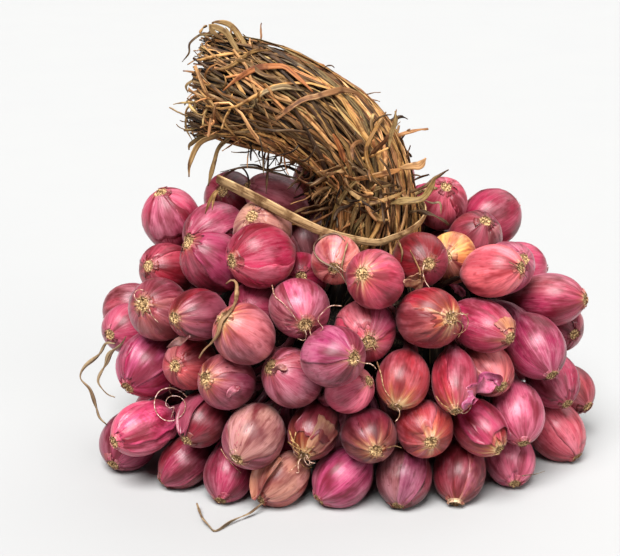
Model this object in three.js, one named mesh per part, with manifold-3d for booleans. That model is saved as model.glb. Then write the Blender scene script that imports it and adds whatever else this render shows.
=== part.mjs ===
// A tied bunch of small red shallots that stands on its own bulbs. The bulbs form a low barrel, each
// with its root plate outwards and its neck towards the heart of the bunch. The dried leaves of all the
// bulbs run up from the heart as one thick bundle, which a flat leaf ties at its foot and which arches
// over to the left. Millimetres, +Z up, the front faces -Y. Everything is laid out about the middle of
// the barrel, and at the end the whole bunch is moved so that the origin is below the middle of its box,
// on the surface that it stands on.
import * as THREE from "three";
import { mergeVertices } from "three/addons/utils/BufferGeometryUtils.js";
import Module from "manifold-3d";

const wasm = await Module();
wasm.setup();

// The barrel that the middles of the bulbs lie on.
const HALF_WIDTH = 102;
const HALF_DEPTH = 64;
const SHOULDER = 60; // height where the upright wall starts to round over
const CROWN = 124; // height of the middles of the topmost bulbs
const ROUNDNESS = 2.3; // 2 is an ellipse seen from above
const SHOULDER_ROUNDNESS = 2.6;

// Where the bunch was looked at from: places of bulbs are given as they are seen from here.
const VIEW_DISTANCE = 700;
const VIEW_ELEVATION = THREE.MathUtils.degToRad(17);
const VIEW_ASIDE = -17.5;
const VIEW_HEIGHT = 94;
const UP_AT_VIEW_HEIGHT = 117.5;

const CLEARANCE = 0.4; // between one bulb and the next
const FULLNESS = 1.035; // the bulbs' sizes below are what shows of them; they are this much larger
const SETTLED = 1.0; // how far the lowest bulbs are pressed flat where they stand
const STANDING_BELOW = 24; // a bulb whose middle is lower than this stands on the surface
const NECK_END_RADIUS = 1.8;
const NECK_ROOM = 2.6; // a neck's middle line stays this far from the other bulbs
const NECK_SHARE = 0.26; // radius of the neck where it leaves the bulb, as a share of the bulb's

// The heart of the bunch, where the necks meet, is an egg with these half-sizes.
const HEART = new THREE.Vector3(52, 25, 21);
const HEART_HEIGHT = 70;
const CORE_CLEARANCE = 1.1; // necks end this much outside the heart and the bundle's foot

// The foot of the leaf bundle.
const FOOT_X = 13.5;
const FOOT_AND_TIE_RADIUS = 26;
const FOOT_KEEP_OFF = 30; // bulbs above FOOT_BELOW stay this far from the middle of the bundle's foot
const FOOT_BELOW = 92;
const FOOT_UPRIGHT = 112; // the bundle rises straight from this height

// Where the necks are drawn to: points on the heart's long axis, between these heights.
const NECKS_MEET = [62, 94];
const NECKS_LEAN_IN = 0.35; // how far out on that axis, as a share of how far out the neck starts

// Bulbs of the front, each its own piece: across, up, set back, width, length, then where the root
// plate is, across and up from the bulb's middle. All as seen from the front.
const FRONT_BULBS = [
  [-82, 142, 0, 29, 36, -6, 13],
  [-68, 139.5, 6, 28, 36, -12, -4],
  [-65, 125.5, 0, 27, 34, -11, 9],
  [-39.5, 124.5, 0, 29, 34, -13, -2.5],
  [-4, 124.5, 0, 22.5, 28, -1, -4],
  [16, 118.5, 0, 26, 30, -6, 2.5],
  [38.5, 123, 3, 25, 30, 4, -2],
  [53, 128, 3, 24, 29, -3, 1],
  [60, 137, 4, 26, 31, 5, 8],
  [70, 113, 0, 24, 33, 12, 1.5],
  [101.5, 105.5, 0, 26, 38, 17, 0],
  [-90.5, 102, 0, 29, 34, -8, 2.5],
  [-74, 99.5, 0, 24, 30, -10.5, -1.5],
  [-24, 103, 0, 26.5, 32, 2.5, -7.5],
  [-48.5, 88.5, -2, 26.5, 32, -9.5, 7],
  [39.5, 100, 0, 28, 32, 9.5, 0],
  [69.5, 100, 0, 24, 38, 12.5, -5.5],
  [93, 83, 0, 27, 36, 7.5, -13],
  [106, 45, 20, 27.5, 36, 10.5, -13],
  [-7, 80.5, -4, 27, 32, 9, -0.5],
  [11.5, 92, 3, 28, 32, 2, -5],
  [-97.5, 71, 0, 30, 36, -10, -11],
  [-60.5, 68, 0, 25, 30, -9.5, 1.5],
  [-25.5, 68, 0, 27, 31, -10, 5],
  [4, 58.5, -2, 20.5, 26, 9, 4],
  [30.5, 65.5, 0, 24, 30, -3, -12],
  [54, 68, 0, 20.5, 36, 1, -13.5],
  [72, 73, 4, 24, 31, 6.5, -8],
  [-97, 44, -5, 25, 35, -13, -6],
  [-70.5, 46.5, 2, 23, 30, -7.5, -9],
  [-44.5, 38.5, -3, 28, 34, -7, -10],
  [-16.5, 41.5, 3, 23, 30, -4.5, -11],
  [9.5, 39, 0, 24.5, 29, 3, -6.5],
  [38, 41.5, 0, 26, 30, 3, -6],
  [65, 43, -2, 23, 32, 9, -9.5],
  [83, 47, 4, 25, 34, 3, -14],
  [-82, 22.5, 2, 23, 31, -11, -10],
  [-29, 14.5, 4, 24, 30, -9.5, -9],
  [-1.5, 14.5, 4, 26, 32, -11, -10.5],
  [28.5, 16, 5, 25.5, 31, -2.5, -13],
  [57, 16, 3, 24, 33, -1.5, -14],
  [82.5, 21.5, 2, 24, 30, 2, -11.5],
];

// Bulbs that show between those, from behind them. The same seven sizes, then the number of the front
// bulb that it is grown together with, or the tier of clusters that it belongs to.
const BEHIND_BULBS = [
  [-55, 149, 6, 27, 32, -4, 4, "top"],
  [-31, 154, 6, 24, 36, -14, 6, "top"],
  [-18, 158, 12, 24, 32, -3, 8, "top"],
  [-42, 140, 5, 27, 32, -5, 6, 4],
  [45, 144, 8, 25, 30, 2, 8, "top"],
  [74.5, 126, 10, 25, 32, 8, 4, 10],
  [-85, 123, 6, 26, 32, -9, 2, 12],
  [-46, 104.5, 8, 24, 30, -4, -2, 15],
  [-19, 119, 8, 24, 28, 0, 0, 5],
  [104, 73, 12, 25, 32, 7, -11, 19],
  [110, 58, 24, 25, 30, 9, -8, 19],
  [-76, 73.5, 5, 24, 30, -7, -1, 23],
  [-107, 27, -14, 28, 32, -7, -11, "low"],
  [-55.5, 18.5, 7, 24, 32, -4, -13, 38],
  [-107, 92, 14, 25, 30, -9, -3, 22],
  [104, 89, 12, 25, 30, 8, -4, 11],
];

// Rows of the back and the hidden rows: height, share of the barrel's size, number of bulbs, first and
// last angle round the barrel in degrees (0 is the right, 90 the back), how far the roots tip up, and
// the tier of clusters that the row belongs to.
const HIDDEN_ROWS = [
  [15, 0.98, 8, 20, 162, -0.7, "low"],
  [41, 1.0, 8, 26, 158, -0.5, "low"],
  [67, 1.0, 8, 24, 160, -0.25, "middle"],
  [90, 0.93, 7, 26, 156, 0.05, "middle"],
  [108, 0.78, 6, 30, 152, 0.35, "top"],
  [119, 0.45, 4, 30, 150, 1.2, "top"],
  [15, 0.58, 10, -168, 156, -1.6, "under"],
];
const CLUSTERS = { low: 4, middle: 4, top: 3, under: 2 }; // clusters in a tier, side by side
const HIDDEN_WIDTH = [24, 29];
const HIDDEN_LENGTH = [30, 36];
const PLACE_SPREAD = 4; // how unevenly a row's bulbs lie, and how unevenly their roots point
const ROOT_SPREAD = 0.5;
const TIP_SPREAD = 0.4;
const SEED = 1207;

// Random numbers that are the same each time.
function dice(seed) {
  let state = seed >>> 0;
  return () => {
    state = (Math.imul(state, 1664525) + 1013904223) >>> 0;
    return state / 4294967296;
  };
}

// 1 on the barrel's form, less inside it.
function level(p) {
  const rise = Math.max(0, p.z - SHOULDER) / (CROWN - SHOULDER);
  const across = Math.abs(p.x / HALF_WIDTH) ** ROUNDNESS;
  const deep = Math.abs(p.y / HALF_DEPTH) ** ROUNDNESS;
  return across + deep + rise ** SHOULDER_ROUNDNESS;
}

const VIEW_UP = new THREE.Vector3(0, Math.sin(VIEW_ELEVATION), Math.cos(VIEW_ELEVATION));
const VIEW_BACK = new THREE.Vector3(0, -Math.cos(VIEW_ELEVATION), Math.sin(VIEW_ELEVATION));
const EYE = new THREE.Vector3(VIEW_ASIDE, 0, VIEW_HEIGHT).addScaledVector(VIEW_BACK, VIEW_DISTANCE);

// The place on the barrel that is seen at (across, up): the first point of the line of sight that lies
// in the form, or the nearest one to it where the line passes by.
function seenAt(across, up) {
  const aim = new THREE.Vector3(across, 0, VIEW_HEIGHT);
  aim.addScaledVector(VIEW_UP, up - UP_AT_VIEW_HEIGHT);
  const sight = aim.clone().sub(EYE);
  let best = null;
  let lowest = Infinity;
  for (let share = 0.8; share < 1.2; share += 0.002) {
    const p = EYE.clone().addScaledVector(sight, share);
    const here = level(p);
    if (here < lowest) {
      lowest = here;
      best = p;
    }
    if (here <= 1) break;
  }
  return best;
}

// A bulb: its middle, the direction of its root plate, half its width and half its length.
function bulb(middle, root, width, length) {
  const [radius, half] = [(FULLNESS * width) / 2, (FULLNESS * length) / 2];
  return { middle, root, radius, half, home: middle.clone(), sight: null };
}

function seenBulb([across, up, back, width, length, rootAcross, rootUp]) {
  const middle = seenAt(across, up);
  const towards = EYE.clone().sub(middle).normalize();
  middle.addScaledVector(towards, -back);
  const out = Math.sqrt(Math.max(1, (length / 2) ** 2 - rootAcross ** 2 - rootUp ** 2));
  const root = new THREE.Vector3(rootAcross, 0, 0).addScaledVector(VIEW_UP, rootUp);
  root.addScaledVector(towards, out).normalize();
  const made = bulb(middle, root, width, length);
  made.sight = towards;
  return made;
}

// Places spaced evenly along the barrel's outline, from one angle to another.
function spacedRound(share, count, from, to) {
  const steps = 240;
  const outline = [];
  const run = [0];
  for (let i = 0; i <= steps; i++) {
    const angle = THREE.MathUtils.degToRad(from + ((to - from) * i) / steps);
    const c = Math.cos(angle);
    const s = Math.sin(angle);
    const x = Math.sign(c) * Math.abs(c) ** (2 / ROUNDNESS) * HALF_WIDTH * share;
    const y = Math.sign(s) * Math.abs(s) ** (2 / ROUNDNESS) * HALF_DEPTH * share;
    outline.push([x, y]);
    if (i) run.push(run[i - 1] + Math.hypot(x - outline[i - 1][0], y - outline[i - 1][1]));
  }
  return Array.from({ length: count }, (_, k) => {
    const wanted = (run[steps] * k) / (count - 1);
    return outline[run.findIndex((r) => r >= wanted - 1e-6)];
  });
}

function hiddenBulbs() {
  const draw = dice(SEED);
  const spread = ([low, high]) => low + (high - low) * draw();
  const made = [];
  for (const [height, share, count, from, to, tip, tier] of HIDDEN_ROWS) {
    for (const [x, y] of spacedRound(share, count, from, to)) {
      const middle = new THREE.Vector3(x + PLACE_SPREAD * (draw() - 0.5), y, height);
      middle.z += PLACE_SPREAD * (draw() - 0.5);
      const root = new THREE.Vector3(x / HALF_WIDTH, y / HALF_DEPTH, 0).normalize();
      root.x += ROOT_SPREAD * (draw() - 0.5);
      root.y += ROOT_SPREAD * (draw() - 0.5);
      root.z = tip + TIP_SPREAD * (draw() - 0.5);
      made.push(bulb(middle, root.normalize(), spread(HIDDEN_WIDTH), spread(HIDDEN_LENGTH)));
      made.at(-1).tier = tier;
    }
  }
  return made;
}

// How far a bulb, taken as an egg, reaches in a direction.
function reach(b, direction) {
  const along = b.root.dot(direction);
  return Math.sqrt(b.radius ** 2 * (1 - along ** 2) + b.half ** 2 * along ** 2);
}

// Moves a bulb. One that is seen from the front mostly gives way along the line of sight.
const ASIDE_SHARE = 0.35;
function giveWay(b, push) {
  if (!b.sight) {
    b.middle.add(push);
    return;
  }
  const inSight = push.dot(b.sight);
  b.middle.addScaledVector(push, ASIDE_SHARE);
  b.middle.addScaledVector(b.sight, inSight * (1 - ASIDE_SHARE));
}

// Packs the bulbs: pairs that overlap are pushed apart, each is drawn back towards its own place, and
// the lowest are kept on the surface.
const PACKING_ROUNDS = 260;
const DRAWN_BACK = 0.05; // share of the way home in the first round, less in each later one
const DRAWN_FOR = 0.7; // share of the rounds in which they are drawn back at all
const NEIGHBOUR_DISTANCE = 45; // bulbs further apart than this can't touch
const UP = new THREE.Vector3(0, 0, 1);
function packBulbs(bulbs) {
  const apart = new THREE.Vector3();
  const pull = new THREE.Vector3();
  for (let round = 0; round < PACKING_ROUNDS; round++) {
    const drawn = DRAWN_BACK * Math.max(0, 1 - round / (DRAWN_FOR * PACKING_ROUNDS));
    for (const b of bulbs) b.middle.add(pull.copy(b.home).sub(b.middle).multiplyScalar(drawn));
    for (let i = 0; i < bulbs.length; i++) {
      for (let j = i + 1; j < bulbs.length; j++) {
        apart.copy(bulbs[i].middle).sub(bulbs[j].middle);
        const distance = apart.length();
        if (distance > NEIGHBOUR_DISTANCE) continue;
        apart.multiplyScalar(1 / distance);
        const needed = reach(bulbs[i], apart) + reach(bulbs[j], apart) + CLEARANCE;
        if (distance >= needed) continue;
        const half = (needed - distance) / 2;
        giveWay(bulbs[i], pull.copy(apart).multiplyScalar(half));
        giveWay(bulbs[j], pull.copy(apart).multiplyScalar(-half));
      }
    }
    for (const b of bulbs) {
      const standing = reach(b, UP) - SETTLED;
      if (b.home.z < STANDING_BELOW || b.middle.z < standing) b.middle.z = standing;
      pull.set(b.middle.x - FOOT_X, b.middle.y, 0);
      const off = pull.length();
      pull.multiplyScalar(1 / off);
      const lack = FOOT_KEEP_OFF + reach(b, pull) - off;
      if (b.middle.z > FOOT_BELOW && lack > 0) b.middle.addScaledVector(pull, lack);
    }
  }
}

// A closed surface through rings of points, all with the same count, with a point at the middle of each
// end. The quads of the second half of a ring are split the other way, so that a thin blade is split
// alike on both faces.
function loft(rings) {
  const count = rings[0].length;
  const points = rings.flat();
  const middle = (ring) => ring.reduce((sum, p) => sum.add(p), new THREE.Vector3()).divideScalar(count);
  const faces = [];
  for (let i = 0; i + 1 < rings.length; i++) {
    for (let j = 0; j < count; j++) {
      const k = (j + 1) % count;
      const [a, b] = [i * count + j, i * count + k];
      const [c, d] = [a + count, b + count];
      if (j < count / 2) faces.push(a, b, d, a, d, c);
      else faces.push(a, b, c, b, d, c);
    }
  }
  const first = points.length;
  points.push(middle(rings[0]), middle(rings.at(-1)));
  const lastRing = (rings.length - 1) * count;
  for (let j = 0; j < count; j++) {
    const k = (j + 1) % count;
    faces.push(first, k, j, first + 1, lastRing + j, lastRing + k);
  }
  const geometry = new THREE.BufferGeometry().setFromPoints(points);
  geometry.setIndex(faces);
  return facingOut(geometry);
}

function volumeOf(geometry) {
  const at = geometry.attributes.position;
  const index = geometry.index.array;
  const [a, b, c] = [new THREE.Vector3(), new THREE.Vector3(), new THREE.Vector3()];
  let six = 0;
  for (let i = 0; i < index.length; i += 3) {
    a.fromBufferAttribute(at, index[i]);
    b.fromBufferAttribute(at, index[i + 1]);
    c.fromBufferAttribute(at, index[i + 2]);
    six += a.dot(b.cross(c));
  }
  return six / 6;
}

function facingOut(geometry) {
  if (volumeOf(geometry) > 0) return geometry;
  const index = geometry.index.array;
  for (let i = 0; i < index.length; i += 3) [index[i], index[i + 1]] = [index[i + 1], index[i]];
  return geometry;
}

// A ring of points about a middle, square to a direction, starting at the side nearest to a given one.
function ringAbout(middle, direction, start, radius, sides) {
  const u = start.clone().addScaledVector(direction, -start.dot(direction)).normalize();
  const v = direction.clone().cross(u);
  return Array.from({ length: sides }, (_, i) => {
    const angle = (2 * Math.PI * i) / sides;
    return middle
      .clone()
      .addScaledVector(u, radius * Math.cos(angle))
      .addScaledVector(v, radius * Math.sin(angle));
  });
}

// The bulb's outline from the root plate to the neck: share of the half-length, share of the radius.
const OUTLINE = [
  [0.97, 0.2],
  [0.7, 0.7],
  [0.1, 1],
  [-0.55, 0.82],
  [-0.95, NECK_SHARE],
];
const PLAIN_OUTLINE = [
  [0.95, 0.3],
  [0.45, 0.88],
  [-0.35, 0.92],
  [-0.95, NECK_SHARE],
];

// 1 on the heart or on the foot of the bundle that rises from it, more outside them.
function coreLevel(p) {
  const heart = Math.hypot(p.x / HEART.x, p.y / HEART.y, (p.z - HEART_HEIGHT) / HEART.z);
  if (p.z < HEART_HEIGHT) return heart;
  const lean = Math.min(1, (p.z - HEART_HEIGHT) / (FOOT_UPRIGHT - HEART_HEIGHT));
  const foot = Math.hypot(p.x - lean * FOOT_X, p.y) / FOOT_AND_TIE_RADIUS;
  return Math.min(heart, foot);
}

// Whether a place is in a bulb, taken as an egg that is a little larger all round.
function isInBulb(b, p, larger) {
  const off = p.clone().sub(b.middle);
  const along = off.dot(b.root);
  const aside = Math.sqrt(Math.max(0, off.lengthSq() - along ** 2));
  return Math.hypot(along / (b.half + larger), aside / (b.radius + larger)) < 1;
}

// Where a bulb's neck ends: it runs towards the heart's long axis until it meets the core or a bulb.
function neckEnd(b, others) {
  const start = b.middle.clone().addScaledVector(b.root, -b.half);
  const meeting = THREE.MathUtils.clamp(start.z, ...NECKS_MEET);
  const aim = new THREE.Vector3(NECKS_LEAN_IN * start.x, 0, meeting);
  let free = start;
  for (let share = 0.02; share < 1; share += 0.01) {
    const p = start.clone().lerp(aim, share);
    if (coreLevel(p) <= CORE_CLEARANCE || others.some((o) => isInBulb(o, p, NECK_ROOM))) break;
    free = p;
  }
  return free;
}

const NECK_LEAVES_AT = -0.9; // on the bulb's axis, as a share of its half-length
function bulbGeometry(b, outline, sides) {
  const end = neckEnd(b, packed.filter((other) => other !== b));
  const rings = outline.map(([along, wide]) => {
    const middle = b.middle.clone().addScaledVector(b.root, along * b.half);
    return ringAbout(middle, b.root, UP, wide * b.radius, sides);
  });
  const way = b.middle.clone().addScaledVector(b.root, NECK_LEAVES_AT * b.half).sub(end).normalize();
  rings.push(ringAbout(end, way, UP, NECK_END_RADIUS, sides));
  return loft(rings);
}

// Solids
function solidOf(geometry) {
  const bare = geometry.clone();
  bare.deleteAttribute("normal");
  bare.deleteAttribute("uv");
  const merged = mergeVertices(bare, 1e-4);
  const mesh = new wasm.Mesh({
    numProp: 3,
    vertProperties: merged.attributes.position.array,
    triVerts: new Uint32Array(merged.index.array),
  });
  return new wasm.Manifold(mesh);
}

function geometryOf(solid) {
  const { vertProperties, triVerts } = solid.getMesh();
  const geometry = new THREE.BufferGeometry();
  geometry.setAttribute("position", new THREE.BufferAttribute(vertProperties, 3));
  geometry.setIndex(new THREE.BufferAttribute(triVerts, 1));
  return geometry;
}

const standingFlat = (solid) => solid.trimByPlane([0, 0, 1], 0);

const SKIN = new THREE.MeshStandardMaterial({ color: 0xa8355c, roughness: 0.35, metalness: 0 });
const STRAW = new THREE.MeshStandardMaterial({ color: 0x9a7d4c, roughness: 0.8, metalness: 0 });
const TAN = new THREE.MeshStandardMaterial({ color: 0xb08d5c, roughness: 0.7, metalness: 0 });

const bunch = new THREE.Group();
function addPiece(name, solid, material) {
  const mesh = new THREE.Mesh(geometryOf(solid), material);
  mesh.name = name;
  bunch.add(mesh);
}

const twoDigits = (n) => String(n).padStart(2, "0");

// Bulbs
const FINE = [OUTLINE, 9];
const PLAIN = [PLAIN_OUTLINE, 7];
const JOINT_RADIUS = 2.5; // half-thickness of the joint between bulbs that have grown together
const front = FRONT_BULBS.map(seenBulb);
const behind = BEHIND_BULBS.map(seenBulb);
behind.forEach((b, k) => (b.tier = BEHIND_BULBS[k][7]));
const hidden = hiddenBulbs();
const packed = [...front, ...behind, ...hidden];
packBulbs(packed);

// Room between two bulbs, both taken as eggs.
function roomBetween(a, b) {
  const way = a.middle.clone().sub(b.middle);
  const distance = way.length();
  way.normalize();
  return distance - reach(a, way) - reach(b, way);
}

// Bulbs that have grown together: one after another, the one that lies closest is joined where it
// touches.
function joinedBulbs(bulbs, outlines) {
  const parts = bulbs.map((b, i) => solidOf(bulbGeometry(b, ...outlines[i])));
  const joined = [bulbs[0]];
  const left = bulbs.slice(1);
  while (left.length) {
    let closest = [Infinity];
    for (const a of joined) {
      for (const b of left) if (roomBetween(a, b) < closest[0]) closest = [roomBetween(a, b), a, b];
    }
    const [, a, b] = closest;
    const way = b.middle.clone().sub(a.middle).normalize();
    const ends = [a, b].map(({ middle }) => ringAbout(middle, way, UP, JOINT_RADIUS, 4));
    parts.push(solidOf(loft(ends)));
    joined.push(...left.splice(left.indexOf(b), 1));
  }
  const solid = standingFlat(wasm.Manifold.union(parts));
  return solid.decompose().sort((p, q) => q.volume() - p.volume())[0];
}

front.forEach((b, i) => {
  const twins = behind.filter((twin) => twin.tier === i + 1);
  const outlines = [FINE, ...twins.map(() => PLAIN)];
  addPiece("shallot_" + twoDigits(i + 1), joinedBulbs([b, ...twins], outlines), SKIN);
});

// The bulbs of one tier, split into clusters from left to right.
function clustersOf(tier) {
  const members = [...behind, ...hidden].filter((b) => b.tier === tier);
  members.sort((a, b) => a.middle.x - b.middle.x);
  const count = CLUSTERS[tier];
  const size = members.length / count;
  return Array.from({ length: count }, (_, k) =>
    members.slice(Math.round(k * size), Math.round((k + 1) * size)),
  );
}

for (const tier of Object.keys(CLUSTERS)) {
  clustersOf(tier).forEach((bulbs, k) => {
    const solid = joinedBulbs(bulbs, bulbs.map(() => PLAIN));
    addPiece("cluster_" + tier + "_" + (k + 1), solid, SKIN);
  });
}

// Leaf bundle. Its middle line runs from the heart up, then over to the left.
const BUNDLE_LINE = [
  [3, 0, 80],
  [10, 0, 98],
  [13.5, 0, 114],
  [12.7, 0, 135],
  [8.5, 0, 152],
  [-1, 0, 164.5],
  [-14, 0, 174.5],
  [-29.5, 0, 182],
  [-47.5, 0, 187.5],
  [-69, 0, 191.5],
].map((p) => new THREE.Vector3(...p));
const BUNDLE_STEPS = 11;
const BUNDLE_HALF = [22.5, 22.5, 20.5, 22, 23.5, 23.5]; // half-thickness in the arch's plane, foot to end
const BUNDLE_HALF_DEEP = [21, 21, 20, 21.5, 22, 22.5]; // half-thickness square to it
const LEAF_RIDGES = 18; // leaves in relief round the bundle
const RIDGE_HEIGHT = 0.07;
const BUNDLE_TWIST = 1.3;
const RAGGED = 9; // how unevenly the cut end is cut
const line = new THREE.CatmullRomCurve3(BUNDLE_LINE);

const along = (list, t) => {
  const at = t * (list.length - 1);
  const i = Math.min(list.length - 2, Math.floor(at));
  return list[i] + (list[i + 1] - list[i]) * (at - i);
};

// A place in the bundle: share of its length, angle round it, share of its thickness. Beyond the end it
// runs straight on.
function inBundle(t, angle, share) {
  const inside = Math.min(t, 1);
  const tangent = line.getTangentAt(inside);
  const across = new THREE.Vector3(0, 1, 0);
  const outward = across.clone().cross(tangent).normalize();
  const p = line.getPointAt(inside);
  p.addScaledVector(tangent, Math.max(0, t - 1) * line.getLength());
  p.addScaledVector(outward, Math.cos(angle) * along(BUNDLE_HALF, inside) * share);
  p.addScaledVector(across, Math.sin(angle) * along(BUNDLE_HALF_DEEP, inside) * share);
  return p;
}

function bundleBody(draw) {
  const points = 2 * LEAF_RIDGES;
  const cut = Array.from({ length: points }, () => (draw() * RAGGED) / line.getLength());
  const rings = [];
  for (let i = 0; i <= BUNDLE_STEPS; i++) {
    const t = i / BUNDLE_STEPS;
    rings.push(
      Array.from({ length: points }, (_, j) => {
        const angle = (2 * Math.PI * j) / points + BUNDLE_TWIST * t;
        const share = 1 + (j % 2 ? -RIDGE_HEIGHT : RIDGE_HEIGHT);
        return inBundle(i === BUNDLE_STEPS ? t + cut[j] : t, angle, share);
      }),
    );
  }
  return loft(rings);
}

// A flat leaf along a line of points: width and thickness, narrower at both ends.
function leafBlade(points, width, thickness, steps, facing) {
  const curve = new THREE.CatmullRomCurve3(points);
  const rings = [];
  for (let i = 0; i <= steps; i++) {
    const t = i / steps;
    const p = curve.getPointAt(t);
    const tangent = curve.getTangentAt(t);
    const side = tangent.clone().cross(facing(p, t)).normalize();
    const normal = side.clone().cross(tangent);
    const half = (width / 2) * (0.45 + 0.55 * Math.sin(Math.PI * Math.min(1, t * 0.8 + 0.15)));
    const [s, n] = [side.multiplyScalar(half), normal.multiplyScalar(thickness / 2)];
    rings.push([
      p.clone().add(s).add(n),
      p.clone().sub(s).add(n),
      p.clone().sub(s).sub(n),
      p.clone().add(s).sub(n),
    ]);
  }
  return loft(rings);
}

const LEAF_THICKNESS = 1;
const awayFromLine = (p) => {
  let best = null;
  let nearest = Infinity;
  for (let t = 0; t <= 1; t += 0.05) {
    const q = line.getPointAt(t);
    if (q.distanceTo(p) < nearest) [best, nearest] = [q, q.distanceTo(p)];
  }
  return p.clone().sub(best);
};

// Leaves that stand out of the cut end.
const FRINGE = 22;
function fringe(draw) {
  return Array.from({ length: FRINGE }, (_, i) => {
    const angle = (2 * Math.PI * (i + 0.6 * draw())) / FRINGE;
    const share = 0.35 + 0.6 * draw();
    const length = 0.05 + 0.1 * draw();
    const bend = 0.5 * (draw() - 0.5);
    const points = [0.86, 0.95, 1.01, 1.01 + 0.5 * length, 1.01 + length].map((t, k) =>
      inBundle(t, angle + bend * Math.max(0, k - 1) * 0.3, share * (1 + 0.07 * k)),
    );
    return leafBlade(points, 3 + 2 * draw(), LEAF_THICKNESS, 5, awayFromLine);
  });
}

// Short leaves in a tangle round the foot: they leave the bundle, cross it and end in the air.
const TANGLE = 12;
function footTangle(draw) {
  return Array.from({ length: TANGLE }, (_, i) => {
    const start = 0.32 + 0.18 * draw();
    const angle = -1.3 + (2.9 * i) / (TANGLE - 1);
    const turn = (i % 2 ? 1 : -1) * (0.7 + 0.8 * draw());
    const climb = 0.1 * (draw() - 0.15);
    const shares = [0.8, 1.1, 1.16, 1.2, 1.36 + 0.25 * draw()];
    const points = shares.map((share, k) =>
      inBundle(start + climb * k * 0.5, angle + (turn * k) / 4 - Math.PI / 2, share),
    );
    return leafBlade(points, 3 + 2 * draw(), LEAF_THICKNESS, 6, awayFromLine);
  });
}

// Wider leaves that cross over the bundle, with both ends tucked in: start, end, start angle, turn.
const CROSSING_LEAVES = [
  [0.93, 0.66, -2.2, 1.1],
  [0.88, 0.5, -1.0, -1.2],
  [0.45, 0.42, -2.6, 2.3],
  [0.6, 0.38, -0.4, -1.1],
  [0.75, 0.5, 2.4, -1.3],
  [0.5, 0.34, 1.2, 1.4],
];
function crossingLeaves() {
  return CROSSING_LEAVES.map(([start, end, angle, turn]) => {
    const shares = [0.85, 1.08, 1.13, 1.13, 1.08, 0.85];
    const points = shares.map((share, k) =>
      inBundle(start + ((end - start) * k) / 5, angle + (turn * k) / 5, share),
    );
    return leafBlade(points, 5.5, LEAF_THICKNESS, 8, awayFromLine);
  });
}

// Thin wisps that hang below the arch.
const WISPS = 8;
const WISPS_BEND = 4; // places where a wisp bends
function wisps(draw) {
  return Array.from({ length: WISPS }, (_, i) => {
    const root = inBundle(0.58 + 0.05 * (i + draw()), Math.PI + 1.4 * (draw() - 0.5), 0.85);
    const points = [root];
    const fall = 3 + 4 * draw();
    const lean = 14 * (draw() - 0.4);
    for (let k = 1; k <= WISPS_BEND; k++) {
      const aside = new THREE.Vector3(lean * draw(), 9 * (draw() - 0.5), -fall * (0.5 + draw()));
      points.push(points[k - 1].clone().add(aside));
    }
    return leafBlade(points, 2.2, 0.9, 5, () => new THREE.Vector3(0, 1, 0.2));
  });
}

function heartGeometry() {
  const egg = new THREE.SphereGeometry(1, 16, 10).scale(HEART.x, HEART.z, HEART.y);
  return egg.rotateX(Math.PI / 2).translate(0, 0, HEART_HEIGHT);
}

function leafBundle() {
  const draw = dice(SEED + 1);
  const parts = [
    heartGeometry(),
    bundleBody(draw),
    ...fringe(draw),
    ...footTangle(draw),
    ...crossingLeaves(),
    ...wisps(draw),
  ];
  return wasm.Manifold.union(parts.map(solidOf));
}
addPiece("leaf_bundle", leafBundle(), STRAW);

// The tie: one flat leaf from its free end at the left, round the foot of the bundle and under itself.
const TIE_WIDTH = 6;
const TIE_THICKNESS = 1.2;
const TIE_HALF_WIDTH = 25.6;
const TIE_HALF_DEPTH = 24.2;
const TIE_HEIGHT = 125;
const TIE_TILT = 7; // higher at the back right, lower at the front left
const TIE_TAIL = [
  [-62, -14, 148],
  [-45, -21, 141],
  [-28, -26, 133],
  [-10, -27.5, 125],
];
function tieLine() {
  const points = TIE_TAIL.map((p) => new THREE.Vector3(...p));
  const [first, last, step] = [-92, 285, 20];
  for (let angle = first; angle <= last; angle += step) {
    const a = THREE.MathUtils.degToRad(angle);
    const tilt = TIE_TILT * Math.cos(a - THREE.MathUtils.degToRad(55));
    const below = Math.max(0, angle - 120) * 0.06;
    const p = new THREE.Vector3(TIE_HALF_WIDTH * Math.cos(a), TIE_HALF_DEPTH * Math.sin(a), tilt - below);
    points.push(p.add(new THREE.Vector3(FOOT_X, 0, TIE_HEIGHT)));
  }
  return points;
}
const awayFromFoot = (p) => new THREE.Vector3(p.x - FOOT_X, p.y, 0);
addPiece("tie", solidOf(leafBlade(tieLine(), TIE_WIDTH, TIE_THICKNESS, 40, awayFromFoot)), TAN);

// Loose dry leaves: two thin ones at the left side, and one that comes out between the lowest bulbs in
// front and is bent on the surface.
const LOOSE_LEAVES = {
  dry_leaf_left_upper: [
    [-106, -34, 75],
    [-109, -32, 70],
    [-114.5, -30, 65],
    [-117, -29, 59],
    [-120.5, -29, 53],
    [-121, -29, 49],
    [-117, -30, 44],
    [-113, -31, 42.5],
  ],
  dry_leaf_left_lower: [
    [-112, -30, 70],
    [-117, -26, 68.5],
    [-121, -24, 62],
    [-128.5, -22, 55],
    [-131, -22, 49],
    [-126.5, -22, 43],
    [-124, -22, 34],
    [-122.5, -22, 28],
    [-119, -22, 24],
  ],
  dry_leaf_front: [
    [-40, -71, 5],
    [-46, -76, 2.2],
    [-54, -83, 1.6],
    [-60.5, -91, 1],
    [-64, -87, 1.2],
    [-68, -78, 1.8],
    [-71, -68, 3.5],
  ],
};
const LOOSE_WIDTH = 3.4;
const LOOSE_THICKNESS = 0.8;
const frontFacing = () => new THREE.Vector3(0.1, -1, 0.15);
const upFacing = () => new THREE.Vector3(0, 0.2, 1);
for (const [name, points] of Object.entries(LOOSE_LEAVES)) {
  const facing = name === "dry_leaf_front" ? upFacing : frontFacing;
  const curve = points.map((p) => new THREE.Vector3(...p));
  addPiece(name, solidOf(leafBlade(curve, LOOSE_WIDTH, LOOSE_THICKNESS, 16, facing)), TAN);
}

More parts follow.
